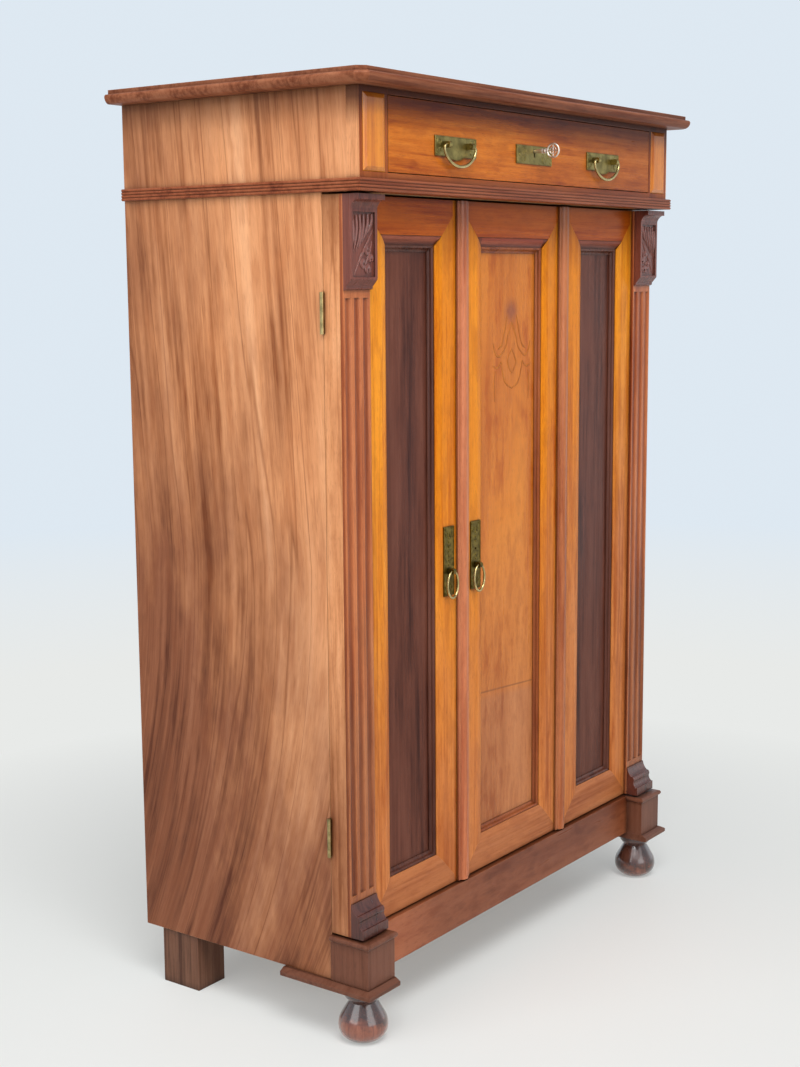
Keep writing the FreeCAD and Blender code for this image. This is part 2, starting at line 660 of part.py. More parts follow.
def stile(left_mitre, left, right, right_mitre):
    """Upright frame member between two openings."""
    points = mitred_edge(right, right_mitre) + mitred_edge(left, left_mitre)[::-1]
    board = prism(Y_AXIS * DOOR_THICK, *points)
    return board.cut([upright_edge(left, left_mitre), upright_edge(right, right_mitre)])


def half_stile(edge, inner, mitre):
    """Upright frame member with one straight edge and one mitred edge."""
    points = mitred_edge(inner, mitre) + [in_door(edge, DOOR_TOP), in_door(edge, DOOR_BOTTOM)]
    return prism(Y_AXIS * DOOR_THICK, *points).cut(upright_edge(inner, mitre))


def rail(start, end, inner, outer):
    """Level frame member between two mitres."""
    shoulder = inner + math.copysign(MITRE_RUN, outer - inner)
    left, right = start - MITRE_RUN, end + MITRE_RUN
    return prism(Y_AXIS * DOOR_THICK, in_door(left, outer), in_door(right, outer), in_door(right, shoulder),
                 in_door(end, inner), in_door(start, inner), in_door(left, shoulder))


def head_edge(start, end):
    """Room in front of the moulded edge of a top rail: a roll over a cove."""
    def point(out, depth):
        return Vector(start - EDGE_WIDTH, DOOR_SETBACK + depth, OPENING_TOP + out)

    return prism(X_AXIS * (end - start + 2 * EDGE_WIDTH), point(EDGE_WIDTH, -OVERCUT),
                 point(EDGE_WIDTH, HEAD_QUIRK),
                 (point(EDGE_WIDTH - HEAD_ROLL, HEAD_ROLL_FALL), HEAD_ROLL_SWELL),
                 (point(0, HEAD_FALL), -HEAD_COVE), point(-OVERCUT, HEAD_FALL), point(-OVERCUT, -OVERCUT))


def foot_edge(start, end):
    """Room in front of the moulded edge of a bottom rail."""
    def point(out, depth):
        return Vector(start - EDGE_WIDTH, DOOR_SETBACK + depth, OPENING_BOTTOM - out)

    return prism(X_AXIS * (end - start + 2 * EDGE_WIDTH), point(EDGE_WIDTH, 0),
                 (point(0, EDGE_FALL), -EDGE_SWELL), point(-OVERCUT, EDGE_FALL),
                 point(-OVERCUT, -OVERCUT), point(EDGE_WIDTH, -OVERCUT))


def panel(start, end, play=0.0):
    """Flat panel that stands in the grooves of its frame; with play it is the groove."""
    reach = PANEL_TONGUE + play
    return box(start - reach, end + reach, PANEL_FACE - play, PANEL_FACE + PANEL_THICK + play,
               OPENING_BOTTOM - reach, OPENING_TOP + reach)


def top_rail(start, end):
    board = rail(start, end, OPENING_TOP, DOOR_TOP)
    return board.cut([panel(start, end, PANEL_PLAY), head_edge(start, end)])


def bottom_rail_of_door(start, end):
    board = rail(start, end, OPENING_BOTTOM, DOOR_BOTTOM)
    return board.cut([panel(start, end, PANEL_PLAY), foot_edge(start, end)])


def moulding_strip(length):
    """Panel moulding of one side: a roll and a cove, mitred at both ends. X along it, Z inward."""
    crest = DOOR_SETBACK + PANEL_MOULD_DROP
    width = PANEL_MOULD_WIDTH
    half = width / 2
    fall = PANEL_FACE - crest

    def point(depth, inward):
        return Vector(length, crest + depth, inward)

    quirk = PANEL_ROLL_FALL + PANEL_QUIRK
    strip = prism(X_AXIS * -length, point(fall, 0), point(0, 0), point(0, PANEL_MOULD_FLAT),
                  (point(PANEL_ROLL_FALL, half), PANEL_ROLL_RISE), point(quirk, half),
                  (point(fall - PANEL_MOULD_EDGE, width), -PANEL_COVE_RISE), point(fall, width))
    depth = Y_AXIS * (DOOR_THICK + 2 * OVERCUT)
    front = DOOR_SETBACK - OVERCUT
    far = width + OVERCUT
    near = -OVERCUT
    start_wedge = prism(depth, Vector(near, front, near), Vector(near, front, far), Vector(far, front, far))
    end_wedge = start_wedge.mirror(Vector(length / 2, 0, 0), X_AXIS)
    return strip.cut([start_wedge, end_wedge])


def panel_moulding(start, end):
    """Four mitred strips round a panel opening."""
    low = moulding_strip(end - start).translated(Vector(start, 0, OPENING_BOTTOM))
    upright = moulding_strip(OPENING_TOP - OPENING_BOTTOM).rotated(MIDDLE, Y_AXIS, 90)
    upright = upright.translated(Vector(start, 0, OPENING_TOP))
    level = Vector(0, 0, (OPENING_BOTTOM + OPENING_TOP) / 2)
    across = Vector((start + end) / 2, 0, 0)
    return Part.makeCompound([low, low.mirror(level, Z_AXIS), upright, upright.mirror(across, X_AXIS)])


def outer_stile():
    """Hinge stile of the left door, with its panel groove and the seats of the hinge leaves."""
    board = half_stile(LEFT, LEFT_PANEL_START, LEFT_PANEL_START - MITRE_RUN)
    leaf_end = HINGE_Y - LEAF_GAP / 2 - LEAF_THICK
    pockets = [hinge_pocket(level, leaf_end, DOOR_BACK + OVERCUT) for level in HINGE_LEVELS]
    return board.cut([panel(LEFT_PANEL_START, LEFT_PANEL_END, PANEL_PLAY)] + pockets)


def left_inner_stile():
    board = half_stile(LEFT_DOOR_END, LEFT_PANEL_END, LEFT_PANEL_END + MITRE_RUN)
    return board.cut(panel(LEFT_PANEL_START, LEFT_PANEL_END, PANEL_PLAY))


def door_keyhole():
    """Round keyhole through the right door's plate and stile."""
    level = DOOR_PLATE_MIDDLE + DOOR_KEYHOLE_UP
    start = Vector(RIGHT_PLATE_X, DOOR_SETBACK - PLATE_METAL - OVERCUT, level)
    return rod(start, Vector(RIGHT_PLATE_X, DOOR_BACK + OVERCUT, level), DOOR_KEYHOLE)


def right_inner_stile():
    board = half_stile(RIGHT_DOOR_START, CENTRE_START, CENTRE_START - MITRE_RUN)
    return board.cut([panel(CENTRE_START, CENTRE_END, PANEL_PLAY), door_keyhole()])


def right_mullion():
    """Wide upright between the centre panel and the right panel, grooved beside its moulding."""
    board = stile(CENTRE_END + MITRE_RUN, CENTRE_END, RIGHT_PANEL_START, RIGHT_PANEL_START - MITRE_RUN)
    groove_end = -RIGHT_DOOR_START - DOOR_MOULD_WIDTH
    groove = box(groove_end - DOOR_GAP, groove_end, DOOR_SETBACK - OVERCUT,
                 DOOR_SETBACK + JOINT_GROOVE_DEPTH, DOOR_BOTTOM - OVERCUT, DOOR_TOP + OVERCUT)
    grooves = [panel(CENTRE_START, CENTRE_END, PANEL_PLAY),
               panel(RIGHT_PANEL_START, RIGHT_PANEL_END, PANEL_PLAY), groove]
    return board.cut(grooves)


def right_rails(maker):
    """The two rails of the right door at one level."""
    return Part.makeCompound([maker(CENTRE_START, CENTRE_END), maker(RIGHT_PANEL_START, RIGHT_PANEL_END)])


def door_moulding():
    """Stepped half-round moulding on the right door's free edge."""
    middle = RIGHT_DOOR_START + DOOR_MOULD_WIDTH / 2
    step = DOOR_SETBACK - DOOR_MOULD_BASE
    half = DOOR_MOULD_ROUND / 2

    def point(x, y):
        return Vector(x, y, DOOR_BOTTOM)

    return prism(Z_AXIS * (DOOR_TOP - DOOR_BOTTOM), point(RIGHT_DOOR_START, DOOR_SETBACK),
                 point(RIGHT_DOOR_START, step), point(middle - half, step),
                 (point(middle + half, step), DOOR_MOULD_RISE),
                 point(RIGHT_DOOR_START + DOOR_MOULD_WIDTH, step),
                 point(RIGHT_DOOR_START + DOOR_MOULD_WIDTH, DOOR_SETBACK))


def door_mouldings():
    return both_sides(door_moulding())


def pilaster_shaft():
    """Flat pilaster with hollow flutes between two plain bands."""
    shaft = box(LEFT, LEFT + PILASTER_WIDTH, SHAFT_FACE, DOOR_SETBACK, DOOR_BOTTOM, DOOR_TOP)
    radius = (FLUTE_WIDTH ** 2 / 4 + FLUTE_DEPTH ** 2) / (2 * FLUTE_DEPTH)
    axis_y = SHAFT_FACE + FLUTE_DEPTH - radius
    low = DOOR_BOTTOM + BASE_HEIGHT + FLUTE_BAND
    high = DOOR_TOP - CAPITAL_HEIGHT - FLUTE_BAND
    pitch = PILASTER_WIDTH / FLUTE_COUNT
    for index in range(FLUTE_COUNT):
        x = LEFT + pitch * (index + 0.5)
        shaft = shaft.cut(rod(Vector(x, axis_y, low), Vector(x, axis_y, high), radius))
    return shaft


def capital():
    """Capital: bead and splay at the foot, sunk field, cavetto and abacus above."""
    foot = DOOR_TOP - CAPITAL_HEIGHT
    face = SHAFT_FACE - CAPITAL_PROJECTION
    abacus = SHAFT_FACE - ABACUS_PROJECTION
    lower = foot + CAPITAL_FOOT
    upper = DOOR_TOP - ABACUS_HEIGHT

    def point(y, z):
        return Vector(LEFT + PILASTER_WIDTH, y, z)

    ledge = SHAFT_FACE - CAPITAL_FOOT
    block = prism(X_AXIS * -PILASTER_WIDTH, point(SHAFT_FACE, foot),
                  (point(ledge, foot + CAPITAL_FOOT / 2), CAPITAL_FOOT_RISE),
                  point(ledge, lower), point(face, lower + CAPITAL_SPLAY), point(face, upper - CAPITAL_COVE),
                  (point(abacus + ABACUS_LIP, upper), -CAPITAL_COVE_RISE), point(abacus, upper),
                  point(abacus, DOOR_TOP), point(SHAFT_FACE, DOOR_TOP))
    margin = CAPITAL_FIELD_MARGIN
    field = box(LEFT + margin, LEFT + PILASTER_WIDTH - margin, face - OVERCUT, face + CAPITAL_FIELD_DEPTH,
                lower + CAPITAL_SPLAY + margin / 2, upper - CAPITAL_COVE - margin)
    return block.cut(field)


def pilaster_base():
    """Moulded base: plinth, hollow, swelling band and a cove up to the shaft."""
    face = SHAFT_FACE - BASE_PROJECTION

    def point(back, up):
        return Vector(LEFT + PILASTER_WIDTH, face + back, DOOR_BOTTOM + up)

    band_foot = BASE_PLINTH + BASE_HOLLOW
    band_top = band_foot + BASE_BAND
    band_back = BASE_BAND_SET + BASE_BAND_LEAN
    return prism(X_AXIS * -PILASTER_WIDTH, point(BASE_PROJECTION, 0), point(0, 0), point(0, BASE_PLINTH),
                 point(BASE_PLINTH_EDGE, BASE_PLINTH), (point(BASE_BAND_SET, band_foot), -BASE_ROUND),
                 (point(band_back, band_top), BASE_ROUND), point(band_back + BASE_QUIRK, band_top),
                 (point(BASE_PROJECTION - BASE_TOP_EDGE, BASE_HEIGHT), -BASE_ROUND),
                 point(BASE_PROJECTION, BASE_HEIGHT))


def lug(pivot, y_plate, hole):
    """Round-nosed lug on a plate, bored across for a ring or a bail."""
    half = LUG_LENGTH / 2
    low = Vector(pivot.x + half, pivot.y, pivot.z - LUG_RADIUS)
    high = low + Z_AXIS * (2 * LUG_RADIUS)
    back = Y_AXIS * (y_plate - pivot.y)
    body = prism(X_AXIS * -LUG_LENGTH, low + back, low, (high, LUG_RADIUS), high + back)
    reach = X_AXIS * (half + OVERCUT)
    return body.cut(rod(pivot - reach, pivot + reach, hole))


def door_plate(x):
    """Narrow brass plate with the post of its ring."""
    face = DOOR_SETBACK - PLATE_METAL
    half = DOOR_PLATE_HEIGHT / 2
    plate = box(x - DOOR_PLATE_WIDTH / 2, x + DOOR_PLATE_WIDTH / 2, face, DOOR_SETBACK,
                DOOR_PLATE_MIDDLE - half, DOOR_PLATE_MIDDLE + half)
    pivot = Vector(x, RING_PIVOT_Y, RING_PIVOT_Z)
    return plate.fuse(lug(pivot, face, RING_EYE)).removeSplitter()


def bar(points, radius, closed):
    """Bar with flats through points that lie in a plane square to Y, mitred where it turns."""
    runs = [(end - start).normalize() for start, end in zip(points, points[1:] + points[:1])]
    if not closed:
        runs[-1] = runs[-2]
    rings = []
    for index, point in enumerate(points):
        into = runs[index - 1] if closed or index else runs[0]
        out = runs[index]
        across = (into + out).cross(Y_AXIS).normalize() * (radius / math.cos(into.getAngle(out) / 2))
        angles = [2 * math.pi * turn / BAR_FLATS for turn in range(BAR_FLATS + 1)]
        rings.append([point + across * math.cos(a) + Y_AXIS * (radius * math.sin(a)) for a in angles])
    loops = [] if closed else [rings[0], rings[-1]]
    for here, there in zip(rings, rings[1:] + (rings[:1] if closed else [])):
        loops += [[here[k], there[k], there[k + 1], here[k + 1], here[k]] for k in range(len(here) - 1)]
    solid = Part.makeSolid(Part.makeShell([Part.Face(Part.makePolygon(loop)) for loop in loops]))
    return solid if solid.Volume > 0 else solid.reversed()


def along_curves(edges, facets):
    """Points along edges that follow on from each other, each edge cut in the same number of chords."""
    points = [edges[0].valueAt(edges[0].FirstParameter)]
    for edge in edges:
        points += edge.discretize(facets + 1)[1:]
    return points


def door_ring(x):
    """Oval drop ring of four tangent arcs, hanging from its post."""
    tall, wide, end = RING_HALF_HEIGHT, RING_HALF_WIDTH, RING_END_RADIUS
    flank = (wide ** 2 + (tall - end) ** 2 - end ** 2) / (2 * (wide - end))
    centre = Vector(x, RING_PIVOT_Y, RING_PIVOT_Z + RING_SAG / 2 - tall)
    lean = math.atan2(tall - end, flank - wide)

    def point(angle, radius, offset_x, offset_z):
        return centre + Vector(offset_x + radius * math.cos(angle), 0, offset_z + radius * math.sin(angle))

    right = point(lean, flank, wide - flank, 0)
    corners = [Vector(sx * (right.x - x), 0, sz * (right.z - centre.z)) + centre
               for sx, sz in ((1, 1), (-1, 1), (-1, -1), (1, -1))]
    sides = [centre + offset for offset in (Z_AXIS * tall, X_AXIS * -wide, Z_AXIS * -tall, X_AXIS * wide)]
    arcs = [Part.Arc(corners[index], sides[index], corners[(index + 1) % 4]).toShape() for index in range(4)]
    return bar(along_curves(arcs, BAR_FACETS)[1:], RING_WIRE, True)


def door_lock_case():
    """Rim lock on the back of the right door, open for its bolt and for a key."""
    start = RIGHT_DOOR_START + BOLT_CLEAR
    level = DOOR_PLATE_MIDDLE + DOOR_KEYHOLE_UP
    half = DOOR_LOCK_HEIGHT / 2
    case = box(start, start + DOOR_LOCK_WIDTH, DOOR_BACK, DOOR_BACK + LOCK_DEPTH, level - half, level + half)
    slot = BOLT_WIDTH / 2 + BOLT_CLEAR
    channel = box(start - OVERCUT, RIGHT_PLATE_X - KEY_BIT_REACH, DOOR_BACK + LOCK_WALL - BOLT_CLEAR,
                  DOOR_BACK + LOCK_DEPTH - LOCK_WALL + BOLT_CLEAR, level - slot, level + slot)
    room = KEY_BIT_REACH - LOCK_WALL
    chamber = box(RIGHT_PLATE_X - room, RIGHT_PLATE_X + room, DOOR_BACK - OVERCUT,
                  DOOR_BACK + LOCK_DEPTH - LOCK_WALL, level - room, level + room)
    return case.cut([channel, chamber])


def door_lock_bolt():
    """Bolt of the door lock, drawn back in the case."""
    start = RIGHT_DOOR_START + BOLT_CLEAR
    level = DOOR_PLATE_MIDDLE + DOOR_KEYHOLE_UP
    half = BOLT_WIDTH / 2
    return box(start, RIGHT_PLATE_X - KEY_BIT_REACH - BOLT_CLEAR, DOOR_BACK + LOCK_WALL,
               DOOR_BACK + LOCK_DEPTH - LOCK_WALL, level - half, level + half)


def keyhole(y0, y1):
    """Keyhole of the drawer: a round hole with a slot below for the bit."""
    radius = KEY_RADIUS + KEY_CLEAR
    hole = rod(Vector(0, y0, KEY_LEVEL), Vector(0, y1, KEY_LEVEL), radius)
    half = KEY_BIT_THICK / 2 + KEY_CLEAR
    return hole.fuse(box(-half, half, y0, y1, KEY_LEVEL - KEY_BIT_REACH - KEY_CLEAR, KEY_LEVEL))


def drawer_bottom(play=0.0):
    """Bottom panel of the drawer; with play it is the groove that holds it."""
    half = DRAWER_HALF - DRAWER_SIDE_THICK + DRAWER_GROOVE + play
    return box(-half, half, DRAWER_FRONT_THICK - DRAWER_GROOVE - play, DRAWER_DEPTH,
               BOTTOM_LEVEL - play, BOTTOM_LEVEL + DRAWER_BOTTOM_THICK + play)


def drawer_front():
    """Front with the bottom's groove and the keyhole."""
    board = box(-DRAWER_HALF, DRAWER_HALF, 0, DRAWER_FRONT_THICK, DRAWER_FRONT_BOTTOM, DRAWER_FRONT_TOP)
    return board.cut([drawer_bottom(PANEL_PLAY), keyhole(-OVERCUT, DRAWER_FRONT_THICK + OVERCUT)])


def drawer_sides():
    board = box(-DRAWER_HALF, DRAWER_SIDE_THICK - DRAWER_HALF, DRAWER_FRONT_THICK, DRAWER_DEPTH,
                DRAWER_SIDE_BOTTOM, DRAWER_SIDE_TOP)
    return both_sides(board.cut(drawer_bottom(PANEL_PLAY)))


def drawer_back():
    """Back that stands on the bottom panel between the sides."""
    half = DRAWER_HALF - DRAWER_SIDE_THICK
    return box(-half, half, DRAWER_DEPTH - DRAWER_SIDE_THICK, DRAWER_DEPTH,
               BOTTOM_LEVEL + DRAWER_BOTTOM_THICK, DRAWER_SIDE_TOP)


def pull_plate():
    """Left pull plate: straight ends, arched out below the bail, with two posts."""
    x = -PULL_FROM_MIDDLE
    half, arch = PULL_WIDTH / 2, PULL_ARCH_WIDTH / 2
    low, high = PULL_LEVEL - PULL_HEIGHT / 2, PULL_LEVEL + PULL_HEIGHT / 2
    plate = prism(Y_AXIS * -PLATE_METAL, Vector(x - half, 0, low), Vector(x - arch, 0, low),
                  (Vector(x + arch, 0, low), PULL_ARCH_RISE), Vector(x + half, 0, low),
                  Vector(x + half, 0, high), Vector(x - half, 0, high))
    lugs = [lug(Vector(x + offset, PULL_PIVOT_Y, PULL_PIVOT_Z), -PLATE_METAL, BAIL_WIRE + PIN_CLEAR)
            for offset in (-LUG_SPACING / 2, LUG_SPACING / 2)]
    return plate.fuse(lugs).removeSplitter()


def bends(points, radii):
    """Tangent arcs that round the inner points of a bent line, one radius for each."""
    arcs = []
    for before, corner, after, radius in zip(points, points[1:], points[2:], radii):
        into = (corner - before).normalize()
        out = (after - corner).normalize()
        turn = into.getAngle(out)
        run = radius * math.tan(turn / 2)
        bisector = (out - into).normalize()
        through = corner + bisector * (radius / math.cos(turn / 2) - radius)
        arcs.append(Part.Arc(corner - into * run, through, corner + out * run).toShape())
    return arcs


def drawer_bail():
    """Left bail: a bar bent to a D, its two ends turned in through the lugs."""
    pivot = Vector(-PULL_FROM_MIDDLE, PULL_PIVOT_Y, PULL_PIVOT_Z)
    end = LUG_SPACING / 2 - LUG_LENGTH / 2
    half = [pivot + Vector(-end, 0, 0), pivot + Vector(-BAIL_REACH, 0, 0),
            pivot + Vector(-BAIL_FOOT, 0, -BAIL_DROP)]
    other = [Vector(2 * pivot.x - point.x, point.y, point.z) for point in reversed(half)]
    points = [half[0]]
    for arc in bends(half + other, (BAIL_BEND, BAIL_CURVE, BAIL_CURVE, BAIL_BEND)):
        points += arc.discretize(BAR_FACETS + 1)
    return bar(points + [other[-1]], BAIL_WIRE, False)


def drawer_escutcheon():
    half = ESCUTCHEON_WIDTH / 2
    plate = box(-half, half, -PLATE_METAL, 0, PULL_LEVEL - PULL_HEIGHT / 2, PULL_LEVEL + PULL_HEIGHT / 2)
    return plate.cut(keyhole(-PLATE_METAL - OVERCUT, OVERCUT))


def drawer_lock_case():
    """Rim lock behind the drawer front: room for the turning bit and a channel for the bolt."""
    back = DRAWER_FRONT_THICK + LOCK_DEPTH
    case = box(-LOCK_WIDTH / 2, LOCK_WIDTH / 2, DRAWER_FRONT_THICK, back,
               KEY_LEVEL - LOCK_BELOW_KEY, DRAWER_FRONT_TOP)
    room = KEY_BIT_REACH + KEY_CLEAR
    chamber = box(-room, room, DRAWER_FRONT_THICK - OVERCUT, back - LOCK_WALL,
                  KEY_LEVEL - room, KEY_LEVEL + room)
    slot = BOLT_WIDTH / 2 + BOLT_CLEAR
    channel = box(-slot, slot, BOLT_FRONT - BOLT_CLEAR, BOLT_BACK + BOLT_CLEAR,
                  BOLT_BOTTOM - BOLT_CLEAR, DRAWER_FRONT_TOP + OVERCUT)
    return case.cut([chamber, channel])


def drawer_lock_bolt():
    """Bolt drawn down in the case; raised, it stands behind the rail above the drawer."""
    half = BOLT_WIDTH / 2
    return box(-half, half, BOLT_FRONT, BOLT_BACK, BOLT_BOTTOM, DRAWER_FRONT_TOP - BOLT_CLEAR)


def drawer_key():
    """Key standing in the lock: a round bow with a cross in it, a shank and a bit."""
    centre = Vector(-KEY_BOW_THICK / 2, -KEY_REACH, KEY_LEVEL)
    flat = X_AXIS * KEY_BOW_THICK
    bow = rod(centre, centre + flat, KEY_BOW_RADIUS).cut(rod(centre, centre + flat, KEY_BOW_HOLE))
    arm = KEY_BOW_HOLE + OVERCUT
    half_arm = KEY_BOW_CROSS / 2
    half_flat = KEY_BOW_THICK / 2
    level_arm = box(-half_flat, half_flat, centre.y - arm, centre.y + arm,
                    KEY_LEVEL - half_arm, KEY_LEVEL + half_arm)
    upright_arm = level_arm.rotated(Vector(0, centre.y, KEY_LEVEL), X_AXIS, 90)
    bit_end = DRAWER_FRONT_THICK + LOCK_DEPTH - LOCK_WALL - KEY_CLEAR
    neck = Vector(0, centre.y + (KEY_BOW_RADIUS + KEY_BOW_HOLE) / 2, KEY_LEVEL)
    shank = rod(neck, Vector(0, bit_end, KEY_LEVEL), KEY_RADIUS)
    half = KEY_BIT_THICK / 2
    bit = box(-half, half, bit_end - KEY_BIT_LENGTH, bit_end, KEY_LEVEL - KEY_BIT_REACH, KEY_LEVEL)
    return bow.fuse([level_arm, upright_arm, shank, bit]).removeSplitter()


def cabinet():
    """Every piece of the cabinet by name."""
    return {
        "top_board": top_board(),
        "left_side": left_side(),
        "right_side": mirrored(left_side()),
        "back_boards": back_boards(),
        "floor_board": floor_board(),
        "shelves": shelves(),
        "shelf_battens": shelf_battens(),
        "drawer_divider": drawer_divider(),
        "frieze_rails": frieze_rails(),
        "frieze_stiles": frieze_stiles(),
        "frieze_blocks": frieze_blocks(),
        "waist_moulding": waist_moulding(),
        "drawer_runners": drawer_runners(),
        "bottom_rail": bottom_rail(),
        "corner_blocks": corner_blocks(),
        "base_plates": base_plates(),
        "front_feet": front_feet(),
        "rear_feet": rear_feet(),
        "carcass_hinges": carcass_hinges(),
        "left_door_outer_stile": outer_stile(),
        "left_door_inner_stile": left_inner_stile(),
        "left_door_top_rail": top_rail(LEFT_PANEL_START, LEFT_PANEL_END),
        "left_door_bottom_rail": bottom_rail_of_door(LEFT_PANEL_START, LEFT_PANEL_END),
        "left_door_panel": panel(LEFT_PANEL_START, LEFT_PANEL_END),
        "left_panel_moulding": panel_moulding(LEFT_PANEL_START, LEFT_PANEL_END),
        "left_pilaster_shaft": pilaster_shaft(),
        "left_capital": capital(),
        "left_pilaster_base": pilaster_base(),
        "left_door_plate": door_plate(LEFT_PLATE_X),
        "left_door_ring": door_ring(LEFT_PLATE_X),
        "left_door_hinge_leaves": door_hinge_leaves(),
        "right_door_outer_stile": mirrored(outer_stile()),
        "right_door_inner_stile": right_inner_stile(),
        "right_door_mullion": right_mullion(),
        "right_door_top_rails": right_rails(top_rail),
        "right_door_bottom_rails": right_rails(bottom_rail_of_door),
        "centre_panel": panel(CENTRE_START, CENTRE_END),
        "right_door_panel": panel(RIGHT_PANEL_START, RIGHT_PANEL_END),
        "centre_panel_moulding": panel_moulding(CENTRE_START, CENTRE_END),
        "right_panel_moulding": panel_moulding(RIGHT_PANEL_START, RIGHT_PANEL_END),
        "door_mouldings": door_mouldings(),
        "right_pilaster_shaft": mirrored(pilaster_shaft()),
        "right_capital": mirrored(capital()),
        "right_pilaster_base": mirrored(pilaster_base()),
        "right_door_plate": door_plate(RIGHT_PLATE_X).cut(door_keyhole()),
        "right_door_ring": door_ring(RIGHT_PLATE_X),
        "right_door_hinge_leaves": mirrored(door_hinge_leaves()),
        "door_lock_case": door_lock_case(),
        "door_lock_bolt": door_lock_bolt(),
        "drawer_front": drawer_front(),
        "drawer_sides": drawer_sides(),
        "drawer_back": drawer_back(),
        "drawer_bottom": drawer_bottom(),
        "drawer_pull_plates": both_sides(pull_plate()),
        "drawer_left_bail": drawer_bail(),
        "drawer_right_bail": mirrored(drawer_bail()),
        "drawer_escutcheon": drawer_escutcheon(),
        "drawer_lock_case": drawer_lock_case(),
        "drawer_lock_bolt": drawer_lock_bolt(),
        "drawer_key": drawer_key(),
    }


def save(name, shape):
    """Write one piece, with the origin at the middle of the box on the floor."""
    shape.translated(Vector(0, -ORIGIN_Y, 0)).exportStep(os.path.join("parts", name + ".step"))


os.makedirs("parts", exist_ok=True)
for piece_name, piece_shape in cabinet().items():
    save(piece_name, piece_shape)
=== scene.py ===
"""Looks of a parlour cabinet: its woods, brass, turned feet, carving and inlay, and a plain stage."""

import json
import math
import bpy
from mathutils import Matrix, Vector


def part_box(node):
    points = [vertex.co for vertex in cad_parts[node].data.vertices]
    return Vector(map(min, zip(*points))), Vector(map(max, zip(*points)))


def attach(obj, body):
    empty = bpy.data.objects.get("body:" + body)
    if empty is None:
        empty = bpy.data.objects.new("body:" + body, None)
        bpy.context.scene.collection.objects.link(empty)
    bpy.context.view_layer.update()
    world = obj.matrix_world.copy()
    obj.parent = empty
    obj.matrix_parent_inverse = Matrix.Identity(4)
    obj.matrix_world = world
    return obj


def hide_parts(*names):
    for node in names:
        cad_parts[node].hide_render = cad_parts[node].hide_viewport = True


bl_info = {
    "name": "Parlour Cabinet",
    "version": (1, 0, 0),
    "blender": (4, 5, 0),
    "location": "View3D > Sidebar > Cabinet",
    "description": "Finishes and fine pieces of a parlour cabinet",
    "category": "Object",
}

from functools import partial

import bpy
from bpy.props import FloatProperty, FloatVectorProperty, IntProperty, PointerProperty
from bpy.types import NodeSocket, Operator, Panel, PropertyGroup
from mathutils import Matrix, Vector

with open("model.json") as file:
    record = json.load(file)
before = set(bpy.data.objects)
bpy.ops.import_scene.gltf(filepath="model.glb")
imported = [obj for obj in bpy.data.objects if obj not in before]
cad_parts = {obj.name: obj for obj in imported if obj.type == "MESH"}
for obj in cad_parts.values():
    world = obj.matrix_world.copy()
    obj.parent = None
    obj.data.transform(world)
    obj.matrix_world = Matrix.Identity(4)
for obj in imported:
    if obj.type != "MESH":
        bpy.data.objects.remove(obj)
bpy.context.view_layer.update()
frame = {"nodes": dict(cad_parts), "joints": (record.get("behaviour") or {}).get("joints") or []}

# Faces that ornament lies on, in metres
DRAWER_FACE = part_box("drawer_front")[0].y
DOOR_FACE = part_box("left_door_inner_stile")[0].y
PANEL_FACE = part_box("centre_panel")[0].y

# Measures in metres
PLATE_METAL = 0.0015
FLUTE_DEPTH = 0.0026
HEAD_WIDTH = 0.015
HEAD_LAP = 0.001
FRIEZE_EDGE = 0.4545
STILE_EDGE = 0.43
SWEEP_LEVEL = 0.72
JOINT_LEVEL = 0.455

# Shade under an overhang: its colour, and (height of its start, height where it is full, share)
UNDER_SHADE = (0.16, 0.09, 0.06)
UNDER_TOP = (1.345, 1.384, 0.85)
SIDE_UNDER_TOP = (1.355, 1.392, 0.5)
BLOCK_UNDER_TOP = (1.362, 1.386, 0.6)
UNDER_WAIST = (1.14, 1.255, 0.55)
RAIL_UNDER_WAIST = (1.205, 1.255, 0.45)

# Colours of marks in the woods; the flute colour is painted shade, and the grime colour is grime together
# with painted shade in hollows
LINE_SHADE = (0.5, 0.38, 0.3)
PATCH_SHADE = (0.68, 0.54, 0.44)
PORE_SHADE = (0.5, 0.42, 0.4)
FLUTE_SHADE = (0.42, 0.27, 0.22)
GRIME_AND_SHADE = (0.012, 0.005, 0.003)
JOINT_LINE = (0.08, 0.03, 0.02)
BLOOM = (0.2, 0.06, 0.04)

# Axes that grain runs along
ACROSS, DEEP, UP = 0, 1, 2


def colour(label, text, value):
    return FloatVectorProperty(name=label, description=text, subtype="COLOR",
                               size=3, min=0, max=1, default=value)


def length(label, text, value):
    return FloatProperty(name=label, description=text, subtype="DISTANCE", unit="LENGTH",
                         min=0, default=value)


